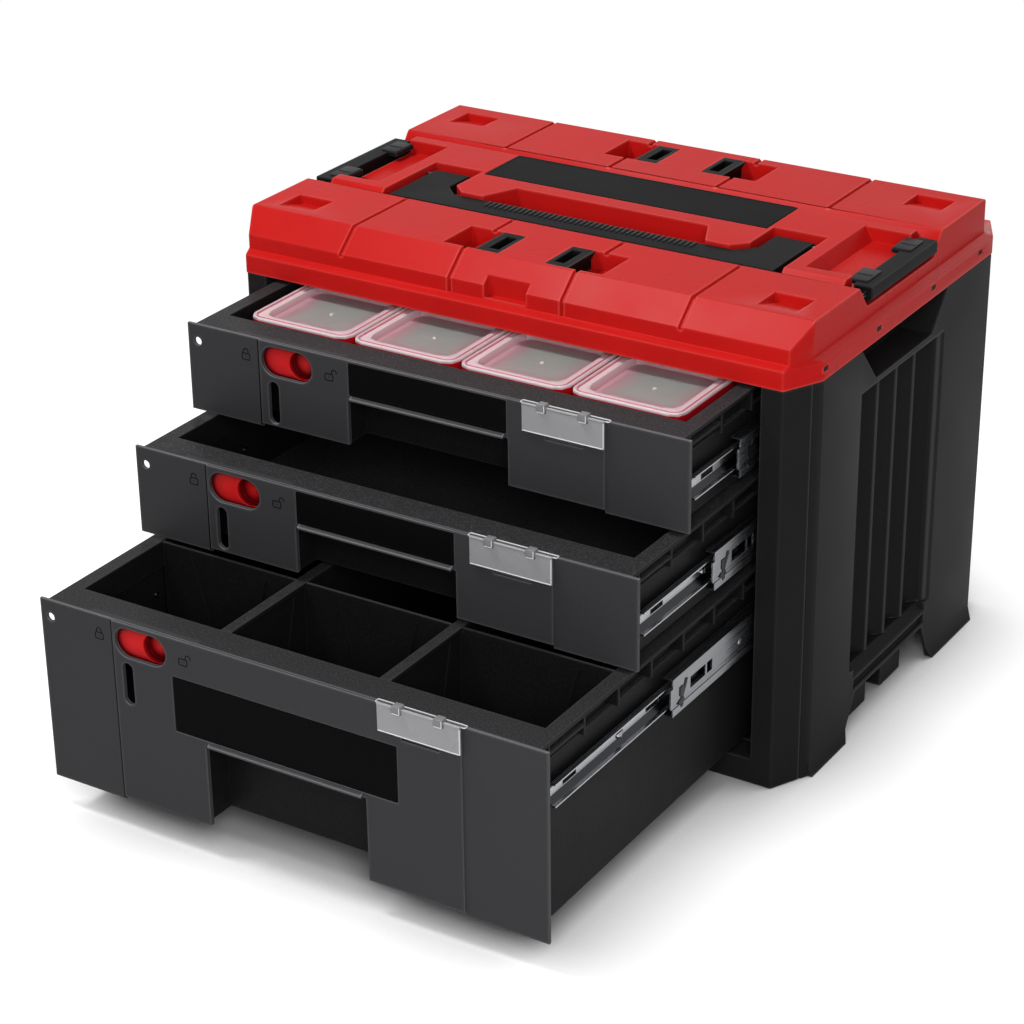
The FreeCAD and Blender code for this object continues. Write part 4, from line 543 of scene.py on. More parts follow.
# How each material is made, by its name
MAKERS = {
    "polypropylene_lid_satin": lambda name: satin_moulding(
        name, finishes().lid_red, roughness=0.28, specular=0.03, relief=0.02 * MM, painted_highlight=finishes().lid_painted_highlight),
    "polypropylene_case_satin": lambda name: satin_moulding(
        name, finishes().case_charcoal, roughness=0.36, specular=0.025, relief=0.03 * MM,
        painted_highlight=finishes().case_painted_highlight),
    "polypropylene_panel_pebbled": lambda name: pebbled_moulding(
        name, finishes().panel_charcoal, upper=finishes().panel_charcoal, fleck=finishes().panel_fleck,
        painted_highlight=finishes().panel_painted_highlight, roughness=0.45, specular=0.06, relief=0.12 * MM),
    # The trays' upper colour is a painted top light.
    "polypropylene_tray_pebbled": lambda name: pebbled_moulding(
        name, finishes().tray_black, upper=finishes().tray_painted_top_light, fleck=finishes().tray_fleck,
        painted_highlight=finishes().tray_painted_highlight, roughness=0.42, specular=0.04, relief=0.06 * MM),
    "polypropylene_tray_satin": lambda name: satin_moulding(
        name, finishes().tray_black, roughness=0.45, specular=0.04, relief=0.02 * MM),
    "nylon_catch_satin": lambda name: satin_moulding(
        name, finishes().catch_black, roughness=0.32, specular=0.02, relief=0.03 * MM,
        painted_highlight=finishes().catch_painted_highlight),
    "abs_lock_polished": polished_lock,
    "polypropylene_bin_satin": lambda name: satin_moulding(
        name, finishes().bin_red, roughness=0.30, specular=0.2, relief=0.01 * MM),
    "polypropylene_frosted": frosted_lid,
    "polycarbonate_hazed": lambda name: hazed_cover(name, finishes().cover_grey, clear=0.0),
    "polycarbonate_painted_highlight": lambda name: hazed_cover(name, finishes().cover_painted_highlight, clear=0.1),
    "polycarbonate_clip": lambda name: hazed_cover(name, finishes().clip_grey, clear=0.0),
    "polypropylene_bead_white": lambda name: hazed_cover(name, finishes().bead_white, clear=0.15),
    "polypropylene_bead_painted_red": lambda name: hazed_cover(name, finishes().bead_painted_red, clear=0.15),
    "card_uncoated": paper_card,
    "steel_zinc_plated": lambda name: zinc_plated_steel(name, finishes().zinc, roughness=0.29),
    "steel_screw_painted_glint": lambda name: zinc_plated_steel(name, finishes().screw_painted_glint, roughness=0.16),
    "steel_zinc_painted_shade": lambda name: zinc_plated_steel(name, finishes().zinc_painted_shade, roughness=0.29),
    "acetal_cage_moulded": lambda name: satin_moulding(
        name, finishes().catch_black, roughness=0.30, specular=0.2, relief=0.0),
    "polyester_plate_satin": lambda name: satin_moulding(
        name, finishes().plate_black, roughness=0.32, specular=0.012, relief=0.02 * MM),
    "sign_line_printed": lambda name: satin_moulding(
        name, finishes().sign_black, roughness=0.5, specular=0.05, relief=0.0),
}


def material(name):
    """The material of that name, made on its first use."""
    return bpy.data.materials.get(name) or MAKERS[name](name)


# Material of each node, by the start of its name
NODE_FINISH = (
    ("lid", "polypropylene_lid_satin"),
    ("front_frame", "polypropylene_case_satin"),
    ("side_wall", "polypropylene_case_satin"),
    ("back_wall", "polypropylene_case_satin"),
    ("base", "polypropylene_case_satin"),
    ("drawer_panel", "polypropylene_panel_pebbled"),
    ("drawer_tray", "polypropylene_tray_pebbled"),
    ("divider", "polypropylene_tray_pebbled"),
    ("cross_walls", "polypropylene_tray_pebbled"),
    ("carry_handle", "nylon_catch_satin"),
    ("stack_", "nylon_catch_satin"),
    ("lock_slider", "abs_lock_polished"),
    ("bin_lid", "polypropylene_frosted"),
    ("rear_bin_lids", "polypropylene_frosted"),
    ("bin_", "polypropylene_bin_satin"),
    ("rear_bins", "polypropylene_bin_satin"),
    ("label_cover", "polycarbonate_hazed"),
    ("label_card", "card_uncoated"),
    # The travelling members get a darker zinc as painted shade.
    ("slide_middle", "steel_zinc_painted_shade"),
    ("slide_", "steel_zinc_plated"),
    ("ball_cages", "acetal_cage_moulded"),
    ("handle_pins", "steel_zinc_plated"),
    ("latch_pins", "steel_zinc_plated"),
)

# Radius in millimetres of each node's moulded or rolled edges, by the start of its name
NODE_EDGE = (
    ("lid", 0.5), ("front_frame", 0.9), ("side_wall", 0.8), ("back_wall", 0.8), ("base", 0.5),
    ("drawer_tray", 0.4), ("divider", 0.4), ("cross_walls", 0.35),
    ("carry_handle", 1.0), ("stack_", 0.6), ("lock_slider", 0.4), ("label_cover", 0.15),
    ("slide_", 0.2), ("ball_cages", 0.3), ("bin_", 0.3), ("rear_bin", 0.3),
)


def first_match(table, name):
    """Value of the first row whose start a node's name begins with."""
    for start, value in table:
        if name.startswith(start):
            return value
    return None


# Surfaces

LEAST_CORNER = 0.05 * MM
MERGE_REACH = 1e-7
SMOOTH_ANGLE = math.radians(35)


def outline(half_width, half_height, corner, inset=0.0, steps=5):
    """Rings of a round-cornered rectangle: at each corner, a quarter circle of radius corner - inset."""
    inset = np.atleast_1d(inset)[:, None, None]
    angle = np.arange(4)[:, None] * np.pi / 2 + np.linspace(0.0, np.pi / 2, steps + 1)
    right = np.array([1.0, -1.0, -1.0, 1.0])[:, None]
    high = np.array([1.0, 1.0, -1.0, -1.0])[:, None]
    x = right * (half_width - corner) + (corner - inset) * np.cos(angle)
    y = high * (half_height - corner) + (corner - inset) * np.sin(angle)
    return np.stack([x.reshape(len(inset), -1), y.reshape(len(inset), -1)], axis=-1)


def grid_faces(rows, columns, rows_close, columns_close):
    """Quads between neighbouring points of a grid; a closing direction joins its end to its start."""
    row = np.arange(rows if rows_close else rows - 1)[:, None]
    column = np.arange(columns if columns_close else columns - 1)[None, :]
    next_row, next_column = (row + 1) % rows, (column + 1) % columns
    quads = (row * columns + column, row * columns + next_column,
             next_row * columns + next_column, next_row * columns + column)
    return np.stack(np.broadcast_arrays(*quads), axis=-1).reshape(-1, 4)


def capped(grid):
    """Points and faces of a tube given as rings, with a flat face over each end."""
    rows, columns = grid.shape[:2]
    faces = grid_faces(rows, columns, False, True).tolist()
    faces.append(list(range(columns))[::-1])
    faces.append(list(range((rows - 1) * columns, rows * columns)))
    return grid.reshape(-1, 3), faces


def slab(half_width, half_height, corner, thick, edge, rim=0.0, dip=0.0):
    """Flat plate in local x, y: the outline shrinks by edge (1 - cos t) while it rises by edge sin t.

    With a rim, the surface then steps down by dip inside it.
    """
    turn = np.linspace(0.0, np.pi / 2, 4)
    inset = np.concatenate([[0.0], edge * (1 - np.cos(turn))])
    rise = np.concatenate([[0.0], thick - edge + edge * np.sin(turn)])
    if rim:
        inset = np.concatenate([inset, [rim, rim + dip]])
        rise = np.concatenate([rise, [thick, thick - dip]])
    rings = outline(half_width, half_height, max(corner, inset.max() + LEAST_CORNER), inset)
    heights = np.broadcast_to(rise[:, None, None], rings.shape[:2] + (1,))
    return capped(np.concatenate([rings, heights], axis=-1))


def ribbon(path, half_width, height, closed):
    """Raised line on a flat face: half an ellipse carried along a path in local x, y."""
    step = np.roll(path, -1, 0) - np.roll(path, 1, 0) if closed else np.gradient(path, axis=0)
    along = step / np.linalg.norm(step, axis=1, keepdims=True)
    side = np.stack([-along[:, 1], along[:, 0]], axis=1)
    turn = np.linspace(0.0, np.pi, 6)
    flat = path[:, None, :] + side[:, None, :] * (half_width * np.cos(turn))[None, :, None]
    rise = np.broadcast_to((height * np.sin(turn))[None, :, None], flat.shape[:2] + (1,))
    grid = np.concatenate([flat, rise], axis=-1)
    if not closed:
        return capped(grid)
    return grid.reshape(-1, 3), grid_faces(len(path), len(turn), True, True).tolist()


def turned(radius, height, steps=20):
    """Turned shape about local z: each radius and height of a profile carried round a circle."""
    angle = np.arange(steps) * 2 * np.pi / steps
    radius, height = np.asarray(radius)[:, None], np.asarray(height)[:, None]
    x, y = radius * np.cos(angle), radius * np.sin(angle)
    return capped(np.stack([x, y, np.broadcast_to(height, x.shape)], axis=-1))


def place(shape, origin, across, up, out):
    """A local shape set in place: each point is origin + x across + y up + z out."""
    points, faces = shape
    return np.asarray(origin, float) + points @ np.array([across, up, out], float), faces


def repeated(shape, offsets):
    """Copies of a shape, one for each offset."""
    points, faces = shape
    offsets = np.asarray(offsets, float)
    moved = (points[None, :, :] + offsets[:, None, :]).reshape(-1, 3)
    starts = range(0, len(moved), len(points))
    return moved, [[index + start for index in face] for start in starts for face in faces]


def joined(shapes):
    """Several shapes as one."""
    points, faces, start = [], [], 0
    for shape_points, shape_faces in shapes:
        points.append(shape_points)
        faces += [[index + start for index in face] for face in shape_faces]
        start += len(shape_points)
    return np.concatenate(points), faces


def new_piece(name, shape, finish, body):
    """A mesh of closed shells that rides on a body of the case."""
    points, faces = shape
    mesh = bpy.data.meshes.new(name)
    mesh.from_pydata(points.tolist(), [], faces)
    shell = bmesh.new()
    shell.from_mesh(mesh)
    bmesh.ops.remove_doubles(shell, verts=shell.verts, dist=MERGE_REACH)
    bmesh.ops.recalc_face_normals(shell, faces=shell.faces)
    shell.to_mesh(mesh)
    shell.free()
    mesh.shade_smooth()
    mesh.set_sharp_from_angle(angle=SMOOTH_ANGLE)
    mesh.materials.append(material(finish))
    piece = bpy.data.objects.new(name, mesh)
    bpy.context.scene.collection.objects.link(piece)
    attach(piece, body)
    return piece


def drawer_place(name):
    """Front face, top edge, and slide of a drawer, from its tray and its slide members."""
    tray_low, tray_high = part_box("drawer_tray_" + name)
    rail_low, rail_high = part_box("slide_inner_" + name)
    return {
        "front": tray_low.y - PANEL_THICK,
        "top": tray_high.z,
        "rail_start": rail_low.y,
        "rail_height": (rail_low.z + rail_high.z) / 2,
    }


# Operators

WELD_REACH = 0.002 * MM
EDGE_SEGMENTS = 2
EDGE_ANGLE = math.radians(32)


class CASE_OT_finishes(bpy.types.Operator):
    """Gives every solid of the case its finish and its rounded edges"""

    bl_idname = "case.finishes"
    bl_label = "Finishes and edges"

    def execute(self, context):
        for name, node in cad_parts.items():
            node.data.materials.clear()
            node.data.materials.append(material(first_match(NODE_FINISH, name)))
            radius = first_match(NODE_EDGE, name)
            if radius:
                self.round_edges(node, radius * MM)
        return {"FINISHED"}

    def round_edges(self, node, radius):
        """Joins a node's loose triangles, and bevels its sharp edges with modifiers."""
        weld = node.modifiers.new("weld", "WELD")
        weld.merge_threshold = WELD_REACH
        edges = node.modifiers.new("edges", "BEVEL")
        edges.width = radius
        edges.segments = EDGE_SEGMENTS
        edges.limit_method = "ANGLE"
        edges.angle_limit = EDGE_ANGLE
        edges.use_clamp_overlap = False
        edges.harden_normals = True
        normals = node.modifiers.new("normals", "WEIGHTED_NORMAL")
        normals.keep_sharp = False


# Plates: half sizes across and along, places, and how deep they lie in their beds
LID_PLATE_HALF = (111.6 * MM, 23.6 * MM)
LID_PLATE_BACK = 180 * MM
LID_PLATE_SINK = 0.8 * MM
LID_PLATE_THICK = 0.75 * MM
LID_PLATE_EDGE = 0.3 * MM
LID_PLATE_DIP = 0.2 * MM
PANEL_PLATE_SINK = 0.6 * MM
PANEL_PLATE_THICK = 0.58 * MM
PANEL_PLATE_EDGE = 0.2 * MM
PANEL_PLATE_DIP = 0.15 * MM

# Half width of a panel's plate, then its lower and its upper edge, both from the panel's top
DEEP_PLATE = (83.7 * MM, 65.9 * MM, 26.9 * MM)
SHALLOW_PLATE = (59.2 * MM, 24.0 * MM, 1.7 * MM)


class CASE_OT_bare_plates(bpy.types.Operator):
    """Sets bare plates into the beds of the lid and the panels"""

    bl_idname = "case.bare_plates"
    bl_label = "Bare plates"

    def execute(self, context):
        sizes = hardware()
        lid_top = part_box("lid")[1].z
        plate = slab(*LID_PLATE_HALF, sizes.plate_corner, LID_PLATE_THICK, LID_PLATE_EDGE,
                     sizes.plate_rim, LID_PLATE_DIP)
        bed = (0, LID_PLATE_BACK, lid_top - LID_PLATE_SINK)
        new_piece("lid_plate", place(plate, bed, ACROSS, BACK, UP),
                  "polyester_plate_satin", "case")
        for name in DRAWERS:
            spot = drawer_place(name)
            half_width, low, high = DEEP_PLATE if name == "bottom" else SHALLOW_PLATE
            plate = slab(half_width, (low - high) / 2, sizes.plate_corner, PANEL_PLATE_THICK,
                         PANEL_PLATE_EDGE, sizes.plate_rim, PANEL_PLATE_DIP)
            bed = (0, spot["front"] + PANEL_PLATE_SINK, spot["top"] - (low + high) / 2)
            new_piece("panel_plate_" + name, place(plate, bed, ACROSS, UP, FORWARD),
                      "polyester_plate_satin", "drawer_" + name)
        return {"FINISHED"}


# Lock signs: their places on a panel, and a padlock's parts as shares of its half width
SIGN_DOWN = 14.6 * MM
SHUT_SIGN_X = -141.5 * MM
OPEN_SIGN_X = -74.5 * MM
SIGN_RAISE = 0.2 * MM
KEYHOLE_RAISE = 0.15 * MM
PADLOCK_HEIGHT = 0.72
PADLOCK_CORNER = 0.25
SHACKLE_RADIUS = 0.62
SHACKLE_LEG = 0.45
SHACKLE_SWING = 1.3
SHACKLE_LIFT = 0.3
KEYHOLE_SHARE = 0.9         # of half the line's width
SHACKLE_STEPS = 13
KEYHOLE_STEPS = 10


class CASE_OT_lock_signs(bpy.types.Operator):
    """Puts a shut and an open padlock beside each sliding lock"""

    bl_idname = "case.lock_signs"
    bl_label = "Lock signs"

    def execute(self, context):
        for name in DRAWERS:
            spot = drawer_place(name)
            height = spot["top"] - SIGN_DOWN
            wing = (SHUT_SIGN_X, spot["front"] + WING_STEP, height)
            centre = (OPEN_SIGN_X, spot["front"], height)
            shut = place(self.padlock(0.0), wing, ACROSS, UP, FORWARD)
            unlocked = place(self.padlock(1.0), centre, ACROSS, UP, FORWARD)
            new_piece("lock_signs_" + name, joined([shut, unlocked]), "sign_line_printed",
                      "drawer_" + name)
        return {"FINISHED"}

    def padlock(self, opened):
        """A round-cornered body and a shackle: two straight legs joined by half a circle.

        An open shackle stands on the body's right corner and one leg hangs free.
        """
        sizes = hardware()
        half, line = sizes.sign_width / 2, sizes.sign_line / 2
        foot = PADLOCK_HEIGHT * half
        body = ribbon(outline(half, foot, PADLOCK_CORNER * half)[0], line, SIGN_RAISE, True)
        radius = SHACKLE_RADIUS * half
        turn = np.linspace(np.pi, 0.0, SHACKLE_STEPS)
        shift = opened * SHACKLE_SWING * half
        bend = foot + SHACKLE_LEG * half
        arc = np.stack([shift + radius * np.cos(turn), bend + radius * np.sin(turn)], axis=1)
        near = np.array([[shift - radius, foot]])
        far = np.array([[shift + radius, foot + opened * SHACKLE_LIFT * half]])
        shackle = ribbon(np.concatenate([near, arc, far]), line, SIGN_RAISE, False)
        hole = KEYHOLE_SHARE * line
        keyhole = turned([0.0, hole, hole, 0.0], [0.0, 0.0, KEYHOLE_RAISE, SIGN_RAISE], KEYHOLE_STEPS)
        return joined([body, shackle, keyhole])


# Screws, rivets and release levers of the slides
SCREW_SEAT = 5.2 * MM       # from a drawer member's outer face in to its web
CROSS_HALF = (2.1 * MM, 0.35 * MM)
CROSS_CORNER = 0.3 * MM
CROSS_THICK = 0.12 * MM
CROSS_EDGE = 0.05 * MM
TIP_RADIUS = 2.2 * MM
TIP_HEIGHT = 1.6 * MM
TIP_DEPTH = 3.7 * MM        # from the web in to the tray's inner wall
DOME_SIDE = 0.35            # share of a head's height that is straight
RIVET_RADIUS = 2.7 * MM
RIVET_HEIGHT = 0.55 * MM
RIVET_FIRST = 88 * MM
RIVET_SECOND = 170 * MM
LEVER_START = 2.5 * MM      # from a travelling member's front end
LEVER_MIDDLE = 12.5 * MM
LEVER_SWAY = 2.6 * MM
LEVER_TURN = 1.9            # angle of the sway from the middle to an end
LEVER_BOW = 2.0 * MM
LEVER_DOWN = 1.2 * MM
LEVER_HALF = 8.6 * MM
LEVER_HALF_WIDTH = 1.9 * MM
LEVER_THICK = 0.6 * MM
LEVER_STEPS = 25
FOOT_HALF = (3.6 * MM, 1.7 * MM)
FOOT_CORNER = 0.8 * MM
FOOT_PLACE = (10.5 * MM, -6.0 * MM, 0.0)
THUMB_HALF = (2.6 * MM, 3.4 * MM)
THUMB_CORNER = 1.0 * MM
THUMB_PLACE = (11.0 * MM, 1.0 * MM, 0.0)
LEVER_PAD_THICK = 0.55 * MM
LEVER_PAD_EDGE = 0.2 * MM


class CASE_OT_slide_hardware(bpy.types.Operator):
    """Adds the screws of the slides, their points in the trays, and the levers of the moving members"""

    bl_idname = "case.slide_hardware"
    bl_label = "Slide hardware"

    def execute(self, context):
        for name in DRAWERS:
            drawer = "drawer_" + name
            heads, tips = self.screws(name, drawer_place(name))
            new_piece("slide_screws_" + name, heads, "steel_zinc_plated", drawer)
            # The points carry a painted glint.
            new_piece("slide_screw_tips_" + name, tips, "steel_screw_painted_glint", drawer)
            for side, sign in SIDES:
                self.member(name, side, sign)
        return {"FINISHED"}

    def member(self, name, side, sign):
        """The release lever and the rivets of one travelling member."""
        low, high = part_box("slide_middle_%s_%s" % (name, side))
        ending = "%s_%s" % (name, side)
        face = sign * max(abs(low.x), abs(high.x))
        spot = (face, low.y + LEVER_START, (low.z + high.z) / 2)
        lever = place(self.lever(), spot, BACK, UP, (sign, 0, 0))
        new_piece("slide_lever_" + ending, lever, "acetal_cage_moulded", "rail_" + ending)
        rivets = repeated(self.head(RIVET_RADIUS, RIVET_HEIGHT), [(RIVET_FIRST, 0, 0), (RIVET_SECOND, 0, 0)])
        rivets = place(rivets, spot, BACK, UP, (sign, 0, 0))
        new_piece("slide_rivets_" + ending, rivets, "steel_zinc_plated", "rail_" + ending)

    def head(self, radius, height):
        """Low dome: radius r cos t against height h sin t, on a short straight side."""
        turn = np.linspace(0.0, np.pi / 2, 6)
        across = np.concatenate([[radius], radius * np.cos(turn[:-1]), [0.0]])
        rise = np.concatenate([[0.0], DOME_SIDE * height + (1 - DOME_SIDE) * height * np.sin(turn)])
        return turned(across, rise)

    def screws(self, name, spot):
        """Two screws on each side of a drawer: heads on the web, points that show inside the tray."""
        sizes = hardware()
        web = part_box("slide_inner_" + name)[1].x - SCREW_SEAT
        bar = slab(*CROSS_HALF, CROSS_CORNER, CROSS_THICK, CROSS_EDGE)
        top = (0, 0, sizes.screw_height)
        cross = [place(bar, top, ACROSS, BACK, UP), place(bar, top, BACK, LEFTWARD, UP)]
        head = joined([self.head(sizes.screw_radius, sizes.screw_height)] + cross)
        tip = self.head(TIP_RADIUS, TIP_HEIGHT)
        heads, tips = [], []
        for _, sign in SIDES:
            for first in (sizes.screw_first, sizes.screw_second):
                y, z = spot["rail_start"] + first, spot["rail_height"]
                heads.append(place(head, (sign * web, y, z), BACK, UP, (sign, 0, 0)))
                tips.append(place(tip, (sign * (web - TIP_DEPTH), y, z), BACK, UP, (-sign, 0, 0)))
        return joined(heads), joined(tips)

    def lever(self):
        """Release lever: a strip that follows an S between the member's two edges, its foot and its pad.

        Along the strip, s from -1 to 1, x is middle + sway sin(turn s) + bow s squared.
        """
        along = np.linspace(-1.0, 1.0, LEVER_STEPS)
        sway = LEVER_MIDDLE + LEVER_SWAY * np.sin(LEVER_TURN * along) + LEVER_BOW * along ** 2
        path = np.stack([sway, LEVER_HALF * along - LEVER_DOWN], axis=1)
        strip = ribbon(path[::-1], LEVER_HALF_WIDTH, LEVER_THICK, False)
        foot = slab(*FOOT_HALF, FOOT_CORNER, LEVER_PAD_THICK, LEVER_PAD_EDGE)
        thumb = slab(*THUMB_HALF, THUMB_CORNER, LEVER_PAD_THICK, LEVER_PAD_EDGE)
        return joined([strip, place(foot, FOOT_PLACE, ACROSS, BACK, UP),
                       place(thumb, THUMB_PLACE, ACROSS, BACK, UP)])


# Snaps in the lid's rim, placed from the middle of the case's depth
CASE_MIDDLE = 149.5 * MM
SNAP_OUTER = 119.0 * MM
SNAP_INNER = 42.0 * MM
SNAP_HALF = (3.4 * MM, 1.65 * MM)
SNAP_CORNER = 0.5 * MM
SNAP_THICK = 2.2 * MM
SNAP_EDGE = 0.3 * MM
SNAP_SINK = 2.5 * MM        # behind the lid's side
SNAP_UP = 7.5 * MM          # over the side wall's top


class CASE_OT_lid_snaps(bpy.types.Operator):
    """Shows the case's snaps in the small windows of the lid's rim"""

    bl_idname = "case.lid_snaps"
    bl_label = "Lid snaps"

    def execute(self, context):
        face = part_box("lid")[1].x - SNAP_SINK
        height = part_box("side_wall_right")[1].z + SNAP_UP
        snap = slab(*SNAP_HALF, SNAP_CORNER, SNAP_THICK, SNAP_EDGE)
        shapes = []
        for _, sign in SIDES:
            for offset in (-SNAP_OUTER, -SNAP_INNER, SNAP_INNER, SNAP_OUTER):
                spot = (sign * face, CASE_MIDDLE + offset, height)
                shapes.append(place(snap, spot, BACK, UP, (sign, 0, 0)))
        new_piece("lid_snaps", joined(shapes), "sign_line_printed", "case")
        return {"FINISHED"}


# Grip ribs of the handle
RIB_HALF = (1.0 * MM, 4.6 * MM)
RIB_CORNER = 0.9 * MM
RIB_RAISE = 0.7 * MM
RIB_EDGE = 0.35 * MM
RIBS_ASIDE = 2 * MM
RIBS_BACK = 16.4 * MM       # from the handle's front edge


class CASE_OT_handle_ribs(bpy.types.Operator):
    """Adds the grip ribs along the back of the handle"""

    bl_idname = "case.handle_ribs"
    bl_label = "Handle ribs"

    def execute(self, context):
        sizes = hardware()
        low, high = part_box("carry_handle")
        rib = slab(*RIB_HALF, RIB_CORNER, RIB_RAISE, RIB_EDGE)
        start = -(sizes.rib_count - 1) / 2
        offsets = np.zeros((sizes.rib_count, 3))
        offsets[:, 0] = (start + np.arange(sizes.rib_count)) * sizes.rib_pitch
        ribs = place(repeated(rib, offsets), (RIBS_ASIDE, low.y + RIBS_BACK, high.z), ACROSS, BACK, UP)
        new_piece("handle_ribs", ribs, "nylon_catch_satin", "handle")
        return {"FINISHED"}


# Finger pads of the stack latches, each with a raised line
PAD_HALF = (6.6 * MM, 10.6 * MM)
PAD_CORNER = 1.6 * MM
PAD_RAISE = 0.9 * MM
PAD_EDGE = 0.5 * MM
PAD_OUT = 7.2 * MM          # from the latch's inner side
PAD_OFF = 32.3 * MM         # from the latch's middle
LINE_HALF = (5.4 * MM, 0.55 * MM)
LINE_CORNER = 0.5 * MM
LINE_RAISE = 0.5 * MM
LINE_EDGE = 0.25 * MM
LINE_STEP = 1.0 * MM        # forward of the pad's middle


class CASE_OT_latch_pads(bpy.types.Operator):
    """Adds finger pads with a raised line to the two stack latches"""

    bl_idname = "case.latch_pads"
    bl_label = "Latch pads"

    def execute(self, context):
        pad = slab(*PAD_HALF, PAD_CORNER, PAD_RAISE, PAD_EDGE)
        line = slab(*LINE_HALF, LINE_CORNER, LINE_RAISE, LINE_EDGE)
        grip = joined([pad, place(line, (0, -LINE_STEP, PAD_RAISE), ACROSS, BACK, UP)])
        for side, sign in SIDES:
            low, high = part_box("stack_latch_" + side)
            middle = (low.y + high.y) / 2
            inner = sign * min(abs(low.x), abs(high.x))
            offsets = [(inner + sign * PAD_OUT, middle + end * PAD_OFF, high.z) for end in (-1.0, 1.0)]
            new_piece("latch_pads_" + side, repeated(grip, offsets), "nylon_catch_satin",
                      "latch_" + side)
        return {"FINISHED"}


# Label covers: painted highlight along the flap's edge, bar over it and two clips, from the panel's front
FLAP_LINE_IN = 0.45 * MM
FLAP_LINE_HALF_WIDTH = 0.4 * MM
FLAP_LINE_RAISE = 0.3 * MM
FLAP_LINE_CORNER = 0.8 * MM
FLAP_PROUD = 2.0 * MM
BAR_OVER = 2.2 * MM         # past each end of the flap
BAR_HALF_DEPTH = 1.7 * MM
BAR_CORNER = 0.6 * MM
BAR_HALF_WIDTH = 0.3 * MM
BAR_RAISE = 0.5 * MM
BAR_BACK = 1.7 * MM
CLIP_LEFT = 86.5 * MM
CLIP_RIGHT = 116.0 * MM
CLIP_HALF = (3.05 * MM, 2.8 * MM)
CLIP_CORNER = 0.8 * MM
CLIP_THICK = 5.32 * MM
CLIP_EDGE = 0.3 * MM
CLIP_BACK = 1.6 * MM
CLIP_RISE = 0.1 * MM
CLIP_LINE_HALF = (2.6 * MM, 2.4 * MM)
CLIP_LINE_HALF_WIDTH = 0.28 * MM
CLIP_LINE_RAISE = 0.02 * MM


class CASE_OT_label_clips(bpy.types.Operator):
    """Adds a painted highlight along the edge of each label cover, the bar it hangs from in a painted
    highlight colour, and the two clips that hold it
    """

    bl_idname = "case.label_clips"
    bl_label = "Label clips"

    def execute(self, context):
        for name in DRAWERS:
            low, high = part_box("label_cover_" + name)
            spot = drawer_place(name)
            front, top = spot["front"], spot["top"]
            middle = (low.x + high.x) / 2
            half = (high.x - low.x) / 2
            flap = (top - low.z) / 2
            path = self.edge(half - FLAP_LINE_IN, flap - FLAP_LINE_IN, FLAP_LINE_CORNER)
            edge = ribbon(path, FLAP_LINE_HALF_WIDTH, FLAP_LINE_RAISE, False)
            edge = place(edge, (middle, front - FLAP_PROUD, low.z + flap), ACROSS, UP, FORWARD)
            # Painted highlight along the flap's lower and right edges.
            new_piece("label_edge_" + name, edge, "polycarbonate_painted_highlight", "label_" + name)
            clips, lines = self.clips(front, top)
            bar = outline(half + BAR_OVER, BAR_HALF_DEPTH, BAR_CORNER)[0]
            bar = ribbon(bar, BAR_HALF_WIDTH, BAR_RAISE, True)
            bar = place(bar, (middle, front + BAR_BACK, top), ACROSS, BACK, UP)
            new_piece("label_clips_" + name, joined(clips), "polycarbonate_clip",
                      "drawer_" + name)
            # The bar is a real rod drawn in a painted highlight colour. The lines on the clips are painted
            # highlights.
            new_piece("label_bars_" + name, joined([bar] + lines), "polycarbonate_painted_highlight",
                      "drawer_" + name)
        return {"FINISHED"}

    def clips(self, front, top):
        """Two clips that reach over the panel's top, and a painted highlight line on the face of each."""
        clip = slab(*CLIP_HALF, CLIP_CORNER, CLIP_THICK, CLIP_EDGE)
        line = ribbon(self.edge(*CLIP_LINE_HALF, CLIP_CORNER), CLIP_LINE_HALF_WIDTH, CLIP_LINE_RAISE, False)
        back = front + CLIP_BACK
        height = top + CLIP_RISE
        places = (CLIP_LEFT, CLIP_RIGHT)
        clips = [place(clip, (x, back, height), ACROSS, UP, FORWARD) for x in places]
        lines = [place(line, (x, back - CLIP_THICK, height), ACROSS, UP, FORWARD) for x in places]
        return clips, lines

    def edge(self, half_width, half_height, corner):
        """The lower and right edges of a flap: two straight lines joined by a quarter circle."""
        turn = np.linspace(-np.pi / 2, 0.0, 6)
        bend = np.stack([half_width - corner + corner * np.cos(turn),
                         corner - half_height + corner * np.sin(turn)], axis=1)
        return np.concatenate([[[-half_width, -half_height]], bend, [[half_width, half_height]]])


# Painted shadow: a dark strip along the step between a panel's centre and its left wing
STEP_SHADOW_X = -130.95 * MM
STEP_SHADOW_HALF_WIDTH = 0.95 * MM
STEP_SHADOW_RAISE = 0.12 * MM
STEP_SHADOW_END = 0.6 * MM         # from the panel's lower and upper edges
STEP_SHADOW_STEPS = 9


class CASE_OT_panel_step_shadows(bpy.types.Operator):
    """Adds a dark strip as painted shadow along the step between each panel's centre and its left wing"""

    bl_idname = "case.panel_seams"
    bl_label = "Panel seams"

    def execute(self, context):
        for name in DRAWERS:
            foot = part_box("drawer_panel_" + name)[0].z
            spot = drawer_place(name)
            height = np.linspace(foot + STEP_SHADOW_END, spot["top"] - STEP_SHADOW_END, STEP_SHADOW_STEPS)
            path = np.stack([np.zeros(STEP_SHADOW_STEPS), height], axis=1)
            step_shadow = ribbon(path, STEP_SHADOW_HALF_WIDTH, STEP_SHADOW_RAISE, False)
            step_shadow = place(step_shadow, (STEP_SHADOW_X, spot["front"] + WING_STEP, 0.0), ACROSS, UP, FORWARD)
            # The dark strip is painted shadow, laid on the wing beside the step.
            new_piece("panel_seam_" + name, step_shadow, "sign_line_printed", "drawer_" + name)
        return {"FINISHED"}


